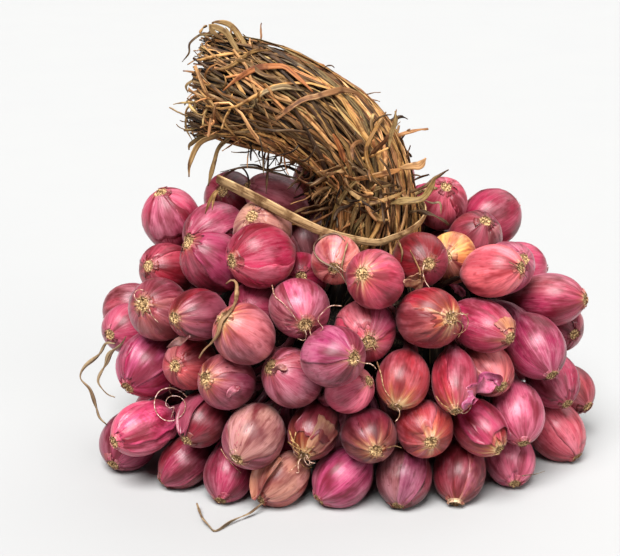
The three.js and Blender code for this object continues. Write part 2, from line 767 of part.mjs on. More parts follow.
// The origin goes below the middle of the whole bunch.
const box = new THREE.Box3().setFromObject(bunch);
const middleOfBox = box.getCenter(new THREE.Vector3());
bunch.position.set(-middleOfBox.x, -middleOfBox.y, -box.min.z);

export default bunch;
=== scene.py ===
import math
import bpy
import numpy as np
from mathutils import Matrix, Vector


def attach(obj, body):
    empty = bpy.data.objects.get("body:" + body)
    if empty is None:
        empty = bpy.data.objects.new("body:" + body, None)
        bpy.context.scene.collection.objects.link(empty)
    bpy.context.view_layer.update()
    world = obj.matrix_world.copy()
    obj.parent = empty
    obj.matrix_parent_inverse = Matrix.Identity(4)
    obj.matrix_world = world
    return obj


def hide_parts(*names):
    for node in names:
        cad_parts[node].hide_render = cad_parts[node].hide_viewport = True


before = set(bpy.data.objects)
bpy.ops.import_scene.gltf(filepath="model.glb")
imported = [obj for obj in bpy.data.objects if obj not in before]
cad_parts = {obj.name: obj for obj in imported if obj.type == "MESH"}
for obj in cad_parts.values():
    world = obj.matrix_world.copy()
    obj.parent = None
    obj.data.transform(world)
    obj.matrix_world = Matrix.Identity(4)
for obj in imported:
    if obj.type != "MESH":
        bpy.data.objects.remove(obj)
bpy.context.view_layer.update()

MM = 0.001
MOVED = np.array([0.7388, 3.6886, 0.0])  # the part moves its whole layout by this much, in mm
SEED = 1207
UP = np.array([0.0, 0.0, 1.0])

# The place that the bunch is looked at from
VIEW_DISTANCE = 700
VIEW_ELEVATION = math.radians(17)
VIEW_TARGET = np.array([-17.5, 0.0, 94.0])
UP_AT_VIEW_HEIGHT = 117.5
VIEW_UP = np.array([0, math.sin(VIEW_ELEVATION), math.cos(VIEW_ELEVATION)])
VIEW_BACK = np.array([0, -math.cos(VIEW_ELEVATION), math.sin(VIEW_ELEVATION)])
EYE = VIEW_TARGET + VIEW_DISTANCE * VIEW_BACK
FRAME_WIDTH, FRAME_HEIGHT = 620, 556
FOCAL_PIXELS = 1400

# The bulbs' places, with the same named values as in the part's source
HALF_WIDTH, HALF_DEPTH, SHOULDER, CROWN = 102, 64, 60, 124
ROUNDNESS, SHOULDER_ROUNDNESS = 2.3, 2.6
CLEARANCE, FULLNESS, SETTLED, STANDING_BELOW = 0.4, 1.035, 1.0, 24
NECK_END_RADIUS, NECK_ROOM = 1.8, 2.6
HEART, HEART_HEIGHT, CORE_CLEARANCE = np.array([52.0, 25.0, 21.0]), 70, 1.1
FOOT_X, FOOT_AND_TIE_RADIUS, FOOT_KEEP_OFF, FOOT_BELOW, FOOT_UPRIGHT = 13.5, 26, 30, 92, 112
NECKS_MEET, NECKS_LEAN_IN = (62, 94), 0.35
PLACE_SPREAD, ROOT_SPREAD, TIP_SPREAD = 4, 0.5, 0.4
ASIDE_SHARE = 0.35
PACKING_ROUNDS, DRAWN_BACK, DRAWN_FOR, NEIGHBOUR_DISTANCE = 260, 0.05, 0.7, 45

# Across, up, set back, width, length, root across, root up; then the look of the skin: its colour, how
# golden it is round the root, how striped with pale pink, how dull and brown on top, the length of the
# root stubs in mm, and the number of long root threads.
FRONT_BULBS = [
    ((-82, 142, 0, 29, 36, -6, 13), ("ae2d4f", 0.15, 0.45, 0.45, 1.2, 0)),
    ((-68, 139.5, 6, 28, 36, -12, -4), ("9a2848", 0.25, 0.5, 0.1, 1.8, 0)),
    ((-65, 125.5, 0, 27, 34, -11, 9), ("8c1636", 0.35, 0.25, 0.0, 1.2, 0)),
    ((-39.5, 124.5, 0, 29, 34, -13, -2.5), ("b51d49", 0.25, 0.35, 0.1, 1.6, 0)),
    ((-4, 124.5, 0, 22.5, 28, -1, -4), ("f09484", 0.35, 0.6, 0.3, 1.5, 1)),
    ((16, 118.5, 0, 26, 30, -6, 2.5), ("b83a54", 0.7, 0.3, 0.1, 1.0, 0)),
    ((38.5, 123, 3, 25, 30, 4, -2), ("6c0612", 0.2, 0.1, 0.0, 1.0, 1)),
    # Partly this bulb's own golden orange, partly painted light: the colour is made paler as the bulb lies in
    # shade.
    ((53, 128, 3, 24, 29, -3, 1), ("f6ba66", 0.9, 0.3, 0.0, 1.4, 0)),
    ((60, 137, 4, 26, 31, 5, 8), ("761024", 0.1, 0.2, 0.3, 1.0, 0)),
    ((70, 113, 0, 24, 33, 12, 1.5), ("e4666e", 0.3, 0.4, 0.2, 1.2, 0)),
    ((101.5, 105.5, 0, 26, 38, 17, 0), ("98284a", 0.4, 0.6, 0.3, 0.8, 0)),
    ((-90.5, 102, 0, 29, 34, -8, 2.5), ("80203a", 0.45, 0.4, 0.3, 4.0, 2)),
    ((-74, 99.5, 0, 24, 30, -10.5, -1.5), ("74061c", 0.5, 0.08, 0.0, 0.9, 0)),
    ((-24, 103, 0, 26.5, 32, 2.5, -7.5), ("aa4060", 0.45, 0.8, 0.0, 1.4, 2)),
    ((-48.5, 88.5, -2, 26.5, 32, -9.5, 7), ("b86066", 1.0, 0.4, 0.1, 1.2, 0)),
    ((39.5, 100, 0, 28, 32, 9.5, 0), ("941628", 0.9, 0.35, 0.0, 1.5, 2)),
    ((69.5, 100, 0, 24, 38, 12.5, -5.5), ("9a2446", 0.55, 0.5, 0.1, 0.8, 0)),
    ((93, 83, 0, 27, 36, 7.5, -13), ("94264c", 0.1, 0.6, 0.1, 0.8, 0)),
    ((106, 45, 20, 27.5, 36, 10.5, -13), ("c4505e", 0.15, 0.5, 0.7, 1.0, 0)),
    ((-7, 80.5, -4, 27, 32, 9, -0.5), ("7c1c38", 0.35, 0.4, 0.0, 2.0, 1)),
    ((11.5, 92, 3, 28, 32, 2, -5), ("b23450", 0.5, 0.5, 0.1, 4.0, 2)),
    ((-97.5, 71, 0, 30, 36, -10, -11), ("b4225c", 0.1, 0.5, 0.2, 0.8, 0)),
    ((-60.5, 68, 0, 25, 30, -9.5, 1.5), ("862444", 0.75, 0.35, 0.05, 2.2, 0)),
    ((-25.5, 68, 0, 27, 31, -10, 5), ("8e3048", 0.35, 0.5, 0.4, 2.4, 0)),
    # Partly this bulb's own pink, partly painted light: the colour is made paler as the bulb lies in shade.
    ((4, 58.5, -2, 20.5, 26, 9, 4), ("e86c84", 0.45, 0.6, 0.0, 1.2, 0)),
    ((30.5, 65.5, 0, 24, 30, -3, -12), ("a02e38", 0.85, 0.3, 0.1, 1.0, 2)),
    ((54, 68, 0, 20.5, 36, 1, -13.5), ("a22438", 0.8, 0.4, 0.0, 0.8, 1)),
    ((72, 73, 4, 24, 31, 6.5, -8), ("e07474", 0.45, 0.5, 0.4, 1.2, 0)),
    # From this row to the end the colours are set deeper: partly the bulbs' own crimson, partly painted shade
    # low in the bunch.
    ((-97, 44, -5, 25, 35, -13, -6), ("c44464", 0.2, 0.4, 0.0, 1.0, 0)),
    ((-70.5, 46.5, 2, 23, 30, -7.5, -9), ("6c0c20", 0.1, 0.15, 0.3, 0.8, 0)),
    ((-44.5, 38.5, -3, 28, 34, -7, -10), ("953652", 0.4, 0.5, 0.85, 1.4, 1)),
    ((-16.5, 41.5, 3, 23, 30, -4.5, -11), ("601014", 0.9, 0.12, 0.3, 2.0, 6)),
    ((9.5, 39, 0, 24.5, 29, 3, -6.5), ("600616", 0.8, 0.1, 0.0, 1.0, 0)),
    ((38, 41.5, 0, 26, 30, 3, -6), ("a62c27", 0.85, 0.5, 0.3, 1.0, 0)),
    ((65, 43, -2, 23, 32, 9, -9.5), ("96102a", 0.95, 0.2, 0.0, 1.0, 0)),
    ((83, 47, 4, 25, 34, 3, -14), ("ac4662", 0.25, 0.6, 0.2, 0.8, 0)),
    ((-82, 22.5, 2, 23, 31, -11, -10), ("7c0e26", 0.05, 0.35, 0.2, 0.8, 0)),
    ((-29, 14.5, 4, 24, 30, -9.5, -9), ("a74c41", 0.2, 0.3, 0.5, 0.8, 0)),
    ((-1.5, 14.5, 4, 26, 32, -11, -10.5), ("a83a62", 0.1, 0.5, 0.1, 1.0, 0)),
    ((28.5, 16, 5, 25.5, 31, -2.5, -13), ("66081e", 0.1, 0.4, 0.0, 0.6, 0)),
    ((57, 16, 3, 24, 33, -1.5, -14), ("7a1828", 0.45, 0.3, 0.3, 1.0, 0)),
    ((82.5, 21.5, 2, 24, 30, 2, -11.5), ("cc5878", 0.15, 0.6, 0.1, 0.8, 0)),
]
# The bulbs behind those: the same, with the front bulb or the tier that each belongs to.
BEHIND_BULBS = [
    ((-55, 149, 6, 27, 32, -4, 4), "top", ("81102a", 0.0, 0.2, 0.0, 0.8, 0)),
    # The next three colours are made paler than the skins: painted light, as the leaf bundle shades these
    # bulbs.
    ((-31, 154, 6, 24, 36, -14, 6), "top", ("d0747e", 0.0, 0.4, 0.0, 0.8, 0)),
    ((-18, 158, 12, 24, 32, -3, 8), "top", ("f0b49c", 0.3, 0.3, 0.0, 0.8, 0)),
    ((-42, 140, 5, 27, 32, -5, 6), 4, ("b88870", 0.1, 0.4, 0.3, 0.8, 0)),
    ((45, 144, 8, 25, 30, 2, 8), "top", ("b93f55", 0.0, 0.5, 0.1, 0.8, 0)),
    ((74.5, 126, 10, 25, 32, 8, 4), 10, ("a43856", 0.0, 0.6, 0.0, 0.8, 0)),
    ((-85, 123, 6, 26, 32, -9, 2), 12, ("97192e", 0.1, 0.3, 0.0, 0.8, 0)),
    ((-46, 104.5, 8, 24, 30, -4, -2), 15, ("a02f4f", 0.0, 0.3, 0.2, 0.8, 0)),
    ((-19, 119, 8, 24, 28, 0, 0), 5, ("9f1c43", 0.0, 0.2, 0.0, 0.8, 0)),
    ((104, 73, 12, 25, 32, 7, -11), 19, ("a02849", 0.05, 0.4, 0.1, 0.8, 0)),
    ((110, 58, 24, 25, 30, 9, -8), 19, ("a43f49", 0.1, 0.3, 0.4, 0.8, 0)),
    ((-76, 73.5, 5, 24, 30, -7, -1), 23, ("ad3842", 0.3, 0.3, 0.1, 1.0, 0)),
    ((-107, 27, -14, 28, 32, -7, -11), "low", ("902b4c", 0.05, 0.4, 0.3, 0.8, 0)),
    ((-55.5, 18.5, 7, 24, 32, -4, -13), 38, ("902143", 0.0, 0.4, 0.0, 0.8, 0)),
    ((-107, 92, 14, 25, 30, -9, -3), 22, ("9f314f", 0.0, 0.4, 0.2, 0.8, 0)),
    ((104, 89, 12, 25, 30, 8, -4), 11, ("992949", 0.0, 0.4, 0.1, 0.8, 0)),
]
HIDDEN_ROWS = [
    (15, 0.98, 8, 20, 162, -0.7, "low"),
    (41, 1.0, 8, 26, 158, -0.5, "low"),
    (67, 1.0, 8, 24, 160, -0.25, "middle"),
    (90, 0.93, 7, 26, 156, 0.05, "middle"),
    (108, 0.78, 6, 30, 152, 0.35, "top"),
    (119, 0.45, 4, 30, 150, 1.2, "top"),
    (15, 0.58, 10, -168, 156, -1.6, "under"),
]
CLUSTERS = {"low": 4, "middle": 4, "top": 3, "under": 2}
HIDDEN_WIDTH, HIDDEN_LENGTH = (24, 29), (30, 36)
HIDDEN_SKINS = ["a82f51", "9f2446", "b52e4f", "931d3f", "ac3a43", "a23a5a", "aa2645", "b54a5d"]


# Plain formulas
def unit(v):
    """A vector, or each row of an array of them, divided by its length."""
    v = np.asarray(v, float)
    return v / np.maximum(np.linalg.norm(v, axis=-1, keepdims=True), 1e-12)


def eased(low, high, x):
    """0 below low, 1 above high, and the S-shaped 3x^2 - 2x^3 between them."""
    share = np.clip((x - low) / (high - low), 0, 1)
    return share * share * (3 - 2 * share)


def mixed(a, b, share):
    """a where share is 0, b where it is 1."""
    share = np.asarray(share, float)[..., None]
    return np.asarray(a) * (1 - share) + np.asarray(b) * share


def curve_through(points, t):
    """The smooth curve through rows of points: each stretch is the cubic whose slope at a point is half the
    step from the point before to the point after. t runs from 0 at the first row to 1 at the last."""
    points = np.asarray(points, float)
    last = len(points) - 1
    x = np.clip(np.asarray(t, float) * last, 0, last - 1e-9)
    i = x.astype(int)
    f = (x - i)[..., None]
    ends = np.vstack([2 * points[0] - points[1], points, 2 * points[-1] - points[-2]])
    a, b, c, d = ends[i], ends[i + 1], ends[i + 2], ends[i + 3]
    return 0.5 * (2 * b + (c - a) * f + (2 * a - 5 * b + 4 * c - d) * f**2 + (3 * b - a - 3 * c + d) * f**3)


def even_curve(points, count):
    """Points spaced evenly along the smooth curve through rows of points."""
    fine = curve_through(points, np.linspace(0, 1, 20 * len(points)))
    run = np.concatenate([[0], np.cumsum(np.linalg.norm(np.diff(fine, axis=0), axis=1))])
    wanted = np.linspace(0, run[-1], count)
    return np.stack([np.interp(wanted, run, fine[:, k]) for k in range(3)], axis=-1)


def colour(text):
    """An sRGB hex value as linear red, green and blue."""
    srgb = np.array([int(text[k : k + 2], 16) / 255 for k in (0, 2, 4)])
    return np.where(srgb <= 0.04045, srgb / 12.92, ((srgb + 0.055) / 1.055) ** 2.4)


def at_pixel(px, py, y):
    """The point of the photograph's line of sight through a pixel that lies y mm behind the middle plane."""
    across, up = px - FRAME_WIDTH / 2, FRAME_HEIGHT / 2 - py
    sight = -VIEW_BACK * FOCAL_PIXELS + np.array([across, 0, 0]) + VIEW_UP * up
    return EYE + sight * (y - EYE[1]) / sight[1]


# Placing and packing the bulbs
class Bulb:
    """One bulb: its middle, the direction of its root plate, half its width and half its length."""

    def __init__(self, middle, root, width, length, look, sight=None):
        self.at = [float(v) for v in middle]
        self.home = list(self.at)
        self.root = [float(v) for v in root]
        self.radius, self.half = FULLNESS * width / 2, FULLNESS * length / 2
        self.look = look
        self.sight = None if sight is None else [float(v) for v in sight]
        self.tier = None

    def reach(self, x, y, z):
        """How far the bulb, taken as an egg, reaches in a direction."""
        along = self.root[0] * x + self.root[1] * y + self.root[2] * z
        return math.sqrt(self.radius**2 * (1 - along**2) + self.half**2 * along**2)

    def give_way(self, x, y, z):
        """Moves the bulb. One that is seen from the front mostly moves along the line of sight."""
        if self.sight is None:
            self.at = [self.at[0] + x, self.at[1] + y, self.at[2] + z]
            return
        s = self.sight
        in_sight = (x * s[0] + y * s[1] + z * s[2]) * (1 - ASIDE_SHARE)
        self.at = [m + ASIDE_SHARE * p + in_sight * q for m, p, q in zip(self.at, (x, y, z), s)]


def level(p):
    """1 on the barrel that the middles of the bulbs lie on, less inside it."""
    rise = max(0.0, p[2] - SHOULDER) / (CROWN - SHOULDER)
    outline = abs(p[0] / HALF_WIDTH) ** ROUNDNESS + abs(p[1] / HALF_DEPTH) ** ROUNDNESS
    return outline + rise**SHOULDER_ROUNDNESS


def seen_at(across, up):
    """The first point of a line of sight that lies in the barrel, or the nearest one to it."""
    aim = np.array([across, 0, VIEW_TARGET[2]]) + VIEW_UP * (up - UP_AT_VIEW_HEIGHT)
    best, lowest, share = None, math.inf, 0.8
    while share < 1.2:
        p = EYE + (aim - EYE) * share
        here = level(p)
        if here < lowest:
            best, lowest = p, here
        if here <= 1:
            break
        share += 0.002
    return best


def seen_bulb(row, look):
    """A bulb placed as it is seen from the front."""
    across, up, back, width, length, root_across, root_up = row
    middle = seen_at(across, up)
    towards = unit(EYE - middle)
    out = math.sqrt(max(1, (length / 2) ** 2 - root_across**2 - root_up**2))
    root = unit(np.array([root_across, 0, 0]) + VIEW_UP * root_up + towards * out)
    return Bulb(middle - back * towards, root, width, length, look, towards)


def spaced_round(share, count, start, end):
    """Places spaced evenly along the barrel's outline, from one angle to another."""
    angle = np.radians(start + (end - start) * np.arange(241) / 240)
    c, s = np.cos(angle), np.sin(angle)
    x = np.sign(c) * np.abs(c) ** (2 / ROUNDNESS) * HALF_WIDTH * share
    y = np.sign(s) * np.abs(s) ** (2 / ROUNDNESS) * HALF_DEPTH * share
    run = np.concatenate([[0], np.cumsum(np.hypot(np.diff(x), np.diff(y)))])
    found = [int(np.argmax(run >= run[-1] * k / (count - 1) - 1e-6)) for k in range(count)]
    return [(x[i], y[i]) for i in found]


def dice(seed):
    """Numbers from 0 to 1 that are the same each time: state x 1664525 + 1013904223, modulo 2^32."""
    state = seed
    while True:
        state = (state * 1664525 + 1013904223) % 2**32
        yield state / 2**32


def hidden_bulbs():
    """The rows of the back and of the inside, each bulb a little out of its row."""
    draw = dice(SEED)
    made = []
    for height, share, count, start, end, tip, tier in HIDDEN_ROWS:
        for x, y in spaced_round(share, count, start, end):
            middle = [x + PLACE_SPREAD * (next(draw) - 0.5), y, height + PLACE_SPREAD * (next(draw) - 0.5)]
            root = unit([x / HALF_WIDTH, y / HALF_DEPTH, 0])
            root[0] += ROOT_SPREAD * (next(draw) - 0.5)
            root[1] += ROOT_SPREAD * (next(draw) - 0.5)
            root[2] = tip + TIP_SPREAD * (next(draw) - 0.5)
            width = HIDDEN_WIDTH[0] + (HIDDEN_WIDTH[1] - HIDDEN_WIDTH[0]) * next(draw)
            length = HIDDEN_LENGTH[0] + (HIDDEN_LENGTH[1] - HIDDEN_LENGTH[0]) * next(draw)
            k = len(made)
            look = (HIDDEN_SKINS[k * 5 % 8], 0.15 + 0.1 * (k % 7), 0.3 + 0.1 * (k % 5), 0.1 * (k % 6), 1.2, 0)
            made.append(Bulb(middle, unit(root), width, length, look))
            made[-1].tier = tier
    return made


def pack_bulbs(bulbs):
    """Pushes overlapping pairs apart while each bulb is drawn back home, and keeps the lowest on the surface
    and the top ones off the foot of the leaf bundle."""
    for turn in range(PACKING_ROUNDS):
        drawn = DRAWN_BACK * max(0.0, 1 - turn / (DRAWN_FOR * PACKING_ROUNDS))
        for b in bulbs:
            b.at = [m + drawn * (h - m) for m, h in zip(b.at, b.home)]
        for i, a in enumerate(bulbs):
            for b in bulbs[i + 1 :]:
                x = a.at[0] - b.at[0]
                y = a.at[1] - b.at[1]
                z = a.at[2] - b.at[2]
                distance = math.sqrt(x * x + y * y + z * z)
                if distance > NEIGHBOUR_DISTANCE:
                    continue
                x, y, z = x / distance, y / distance, z / distance
                push = (a.reach(x, y, z) + b.reach(x, y, z) + CLEARANCE - distance) / 2
                if push > 0:
                    a.give_way(push * x, push * y, push * z)
                    b.give_way(-push * x, -push * y, -push * z)
        for b in bulbs:
            standing = b.reach(0, 0, 1) - SETTLED
            if b.home[2] < STANDING_BELOW or b.at[2] < standing:
                b.at[2] = standing
            off = math.hypot(b.at[0] - FOOT_X, b.at[1])
            x, y = (b.at[0] - FOOT_X) / off, b.at[1] / off
            lack = FOOT_KEEP_OFF + b.reach(x, y, 0) - off
            if b.at[2] > FOOT_BELOW and lack > 0:
                b.at = [b.at[0] + lack * x, b.at[1] + lack * y, b.at[2]]


def neck_end(b, others):
    """Where a bulb's neck ends: it runs towards the heart's long axis until it meets the core or a bulb."""
    start = np.array(b.at) - b.half * np.array(b.root)
    aim = np.array([NECKS_LEAN_IN * start[0], 0, min(max(start[2], NECKS_MEET[0]), NECKS_MEET[1])])
    way = start + (aim - start) * (0.02 + 0.01 * np.arange(98))[:, None]
    heart = np.linalg.norm((way - [0, 0, HEART_HEIGHT]) / HEART, axis=1)
    lean = np.clip((way[:, 2] - HEART_HEIGHT) / (FOOT_UPRIGHT - HEART_HEIGHT), 0, 1)
    foot = np.hypot(way[:, 0] - lean * FOOT_X, way[:, 1]) / FOOT_AND_TIE_RADIUS
    core = np.where(way[:, 2] < HEART_HEIGHT, heart, np.minimum(heart, foot))
    off = way[:, None] - np.array([o.at for o in others])
    along = (off * np.array([o.root for o in others])).sum(-1)
    aside = np.sqrt(np.maximum(0, (off**2).sum(-1) - along**2))
    half = np.array([o.half for o in others]) + NECK_ROOM
    radius = np.array([o.radius for o in others]) + NECK_ROOM
    met = (core <= CORE_CLEARANCE) | (np.hypot(along / half, aside / radius) < 1).any(axis=1)
    first = int(np.argmax(met)) if met.any() else len(way)
    return way[first - 1] if first else start


front = [seen_bulb(row, look) for row, look in FRONT_BULBS]
behind = [seen_bulb(row, look) for row, tier, look in BEHIND_BULBS]
for b, (row, tier, look) in zip(behind, BEHIND_BULBS):
    b.tier = tier
hidden = hidden_bulbs()
packed = front + behind + hidden
pack_bulbs(packed)

# The bulbs that each node of the part holds.
held = {f"shallot_{i + 1:02d}": [b] + [o for o in behind if o.tier == i + 1] for i, b in enumerate(front)}
for tier, count in CLUSTERS.items():
    members = sorted((b for b in behind + hidden if b.tier == tier), key=lambda b: b.at[0])
    cuts = [math.floor(k * len(members) / count + 0.5) for k in range(count + 1)]
    for k in range(count):
        held[f"cluster_{tier}_{k + 1}"] = members[cuts[k] : cuts[k + 1]]


# Meshes
class Shape:
    """Points, triangles that face out, a colour and a grain position for each point, and a finish."""

    def __init__(self, points, triangles, tone, grain, finish=0):
        self.points = np.asarray(points, float).reshape(-1, 3)
        self.triangles = np.asarray(triangles, int).reshape(-1, 3)
        self.tone = np.broadcast_to(tone, (len(self.points), 4))
        self.grain = np.broadcast_to(grain, (len(self.points), 3))
        self.finish = np.broadcast_to(finish, len(self.triangles))
        a, b, c = (self.points[self.triangles[:, k]] for k in range(3))
        if (a * np.cross(b, c)).sum() < 0:
            self.triangles = self.triangles[:, ::-1]


def make_piece(name, shapes, materials, nodes):
    """Joins shapes into one object that rides on the bunch and stands for the part's nodes."""
    shifts = np.cumsum([0] + [len(s.points) for s in shapes])
    points = (np.concatenate([s.points for s in shapes]) + MOVED) * MM
    triangles = np.concatenate([s.triangles + shift for s, shift in zip(shapes, shifts)])
    mesh = bpy.data.meshes.new(name)
    mesh.vertices.add(len(points))
    mesh.vertices.foreach_set("co", points.ravel())
    mesh.loops.add(triangles.size)
    mesh.loops.foreach_set("vertex_index", triangles.ravel().astype(np.int32))
    mesh.polygons.add(len(triangles))
    mesh.polygons.foreach_set("loop_start", np.arange(0, triangles.size, 3, dtype=np.int32))
    mesh.polygons.foreach_set("material_index", np.concatenate([s.finish for s in shapes]).astype(np.int32))
    mesh.update(calc_edges=True)
    mesh.validate()
    mesh.shade_smooth()
    tone = mesh.attributes.new("tone", "FLOAT_COLOR", "POINT")
    tone.data.foreach_set("color", np.concatenate([s.tone for s in shapes]).astype(np.float32).ravel())
    grain = mesh.attributes.new("grain", "FLOAT_VECTOR", "POINT")
    grain.data.foreach_set("vector", np.concatenate([s.grain for s in shapes]).astype(np.float32).ravel())
    for material in materials:
        mesh.materials.append(material)
    piece = bpy.data.objects.new(name, mesh)
    bpy.context.scene.collection.objects.link(piece)
    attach(piece, "root")
    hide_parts(*nodes)


def ring_triangles(rings, count):
    """Triangles between rings of points, closed round, then fans to one point before them and one after."""
    j = np.arange(count)
    k = (j + 1) % count
    first, last = rings * count, rings * count + 1
    tip = np.stack([np.full(count, first), k, j], axis=-1)
    end = np.stack([np.full(count, last), (rings - 1) * count + j, (rings - 1) * count + k], axis=-1)
    return np.concatenate([wall_triangles(rings, count), tip, end])


def thin_sheet(grid, thickness):
    """A closed sheet: the grid moved half a thickness out and in along its normals, and joined round its
    edge."""
    rows, columns = grid.shape[:2]
    normal = unit(np.cross(np.gradient(grid, axis=0), np.gradient(grid, axis=1)))
    out = normal * thickness / 2
    points = np.concatenate([(grid + out).reshape(-1, 3), (grid - out).reshape(-1, 3)])
    i, j = np.meshgrid(np.arange(rows - 1), np.arange(columns - 1), indexing="ij")
    a = i * columns + j
    top = np.stack([a, a + columns, a + columns + 1, a, a + columns + 1, a + 1], axis=-1).reshape(-1, 3)
    under = rows * columns
    edge = np.concatenate([
        np.arange(columns), np.arange(1, rows) * columns + columns - 1,
        (rows - 1) * columns + np.arange(columns - 2, -1, -1), np.arange(rows - 2, 0, -1) * columns])
    following = np.roll(edge, -1)
    side = np.stack([edge, following, following + under, edge, following + under, edge + under], axis=-1)
    return points, np.concatenate([top, top[:, ::-1] + under, side.reshape(-1, 3)])


def wall_triangles(rings, count):
    """Triangles between rings of points, closed round."""
    i, j = np.meshgrid(np.arange(rings - 1), np.arange(count), indexing="ij")
    k = (j + 1) % count
    a, b, c, d = i * count + j, i * count + k, (i + 1) * count + k, (i + 1) * count + j
    return np.stack([a, b, c, a, c, d], axis=-1).reshape(-1, 3)


def blade_triangles(rings, columns):
    """The walls of a blade whose rings run across its upper face and back across its lower one, and its two
    ends, where each column of the upper face is joined to the one below it."""
    count = 2 * columns
    i = np.arange(columns - 1)
    under = count - 1 - i
    end = np.concatenate([np.stack([i, under, i + 1], axis=-1), np.stack([i + 1, under, under - 1], axis=-1)])
    return np.concatenate([wall_triangles(rings, count), end, end[:, ::-1] + (rings - 1) * count])


def blades(paths, facing, width, thickness, fold, roll, tone, grain_start, columns=3, ribs=0.0):
    """Flat leaves along paths (leaf, step, xyz). Across a path lies a thin section, half as wide on each side
    as the width says. Its height over the path is the fold times 1 minus the distance from the middle, plus
    the ribs times the cosine of three and a half turns across; it is thinner at its edges, and turned round
    the path by the roll."""
    leaves, steps = paths.shape[:2]
    tangent = unit(np.gradient(paths, axis=1))
    side = unit(np.cross(tangent, facing))
    normal = np.cross(side, tangent)
    roll = np.broadcast_to(roll, (leaves, steps))[..., None]
    side, normal = side * np.cos(roll) + normal * np.sin(roll), normal * np.cos(roll) - side * np.sin(roll)
    half = np.broadcast_to(width, (leaves, steps))[..., None, None] / 2
    fold = np.broadcast_to(fold, (leaves, steps))[..., None, None]
    u = np.linspace(-1, 1, columns)
    across = np.concatenate([u, u[::-1]])[:, None]
    face = np.concatenate([np.ones(columns), -np.ones(columns)])[:, None]
    arch = fold * (1 - np.abs(across)) + ribs * np.cos(7 * math.pi * across)
    skin = face * thickness / 2 * (0.4 + 0.6 * (1 - across**4))
    points = paths[:, :, None] + side[:, :, None] * half * across + normal[:, :, None] * (half * arch + skin)
    count = 2 * columns
    one = blade_triangles(steps, columns)
    triangles = one[None] + np.arange(leaves)[:, None, None] * steps * count
    run = np.cumsum(np.linalg.norm(np.diff(paths, axis=1, prepend=paths[:, :1]), axis=-1), axis=1)
    grain = np.stack([
        half[..., 0] * across[:, 0], np.repeat((run + grain_start[:, None])[..., None], count, axis=-1),
        np.broadcast_to(grain_start[:, None, None], (leaves, steps, count))], axis=-1)
    tone = np.broadcast_to(tone[:, None, None], (leaves, steps, count, 4))
    return Shape(points, triangles, tone.reshape(-1, 4), grain.reshape(-1, 3))


def threads(paths, radius, tone, grain_start):
    """Round threads along paths (thread, step, xyz): four-sided rings with a point at each end."""
    count, steps = paths.shape[:2]
    tangent = unit(np.gradient(paths, axis=1))
    helper = np.where(np.abs(tangent[..., 2:]) < 0.8, [0, 0, 1.0], [1.0, 0, 0])
    side = unit(np.cross(tangent, helper))
    other = np.cross(side, tangent)
    angle = np.arange(4) * math.pi / 2
    radius = np.broadcast_to(radius, (count, steps))[..., None, None]
    ring = side[:, :, None] * np.cos(angle)[:, None] + other[:, :, None] * np.sin(angle)[:, None]
    points = (paths[:, :, None] + radius * ring).reshape(count, steps * 4, 3)
    points = np.concatenate([points, paths[:, :1], paths[:, -1:]], axis=1)
    one = ring_triangles(steps, 4)
    triangles = one[None] + np.arange(count)[:, None, None] * (steps * 4 + 2)
    tone = np.repeat(tone[:, None], steps * 4 + 2, axis=1)
    grain = np.repeat(np.stack([grain_start] * 3, axis=-1)[:, None], steps * 4 + 2, axis=1)
    return Shape(points, triangles, tone.reshape(-1, 4), grain.reshape(-1, 3))


# Bulbs
PATCH_GRID, FLAKE_GRID, FLAP_GRID = (20, 12), (7, 5), (30, 18)  # points across and along a piece of skin
SKIN_THICKNESS, TORN_SHARE = 0.1, 0.06
GRAIN_APART_ON_PATCH = 40
# The outline from the root plate to the neck: place on the axis in half-lengths, radius in half-widths.
OUTLINE = np.array([
    (0.955, 0.0), (0.96, 0.1), (0.975, 0.19), (0.955, 0.25), (0.9, 0.37), (0.79, 0.58), (0.6, 0.8),
    (0.34, 0.95), (0.06, 1.0), (-0.22, 0.965), (-0.47, 0.86), (-0.68, 0.68), (-0.84, 0.48), (-0.97, 0.33)])
BODY_END = 0.84  # share of the run from root to neck end that the body takes
PLATE_END = 0.17  # share that the root plate takes
SHAPE_STEP, TONE_STEP, LAYER_STEP = 17, 31, 101  # from one bulb's seed to the next one's
ROOT_GRAIN_RANGE = 500  # a root's place in the grain is drawn up to this, in mm
FORWARD = (0.1, -1, 0.3)  # the side that a leaf lying on the bulbs shows
FINE = 240  # points along a bulb's middle line, from root to neck end
NECK_TAPER = 2.2
# Waves round a bulb, their size as a share of its radius, and how far they turn from root to neck, in
# radians: the lobes, each of a size drawn between two, and the fine ribs.
LOBES = [(2, (0.01, 0.035), 0.0), (3, (0.004, 0.018), 1.5), (5, (0.002, 0.007), 3.0)]
RIBS = [(9, 0.003, 2.0), (14, 0.0022, -1.0), (23, 0.0012, 0.5)]
TURN = 6.3  # a full turn in radians, rounded up: for waves, and for starts and directions that are drawn
SURFACE = 0.05  # how low a skin may reach, in mm
GRAIN_APART = 97.0  # how far apart the grain of two bulbs lies, in mm


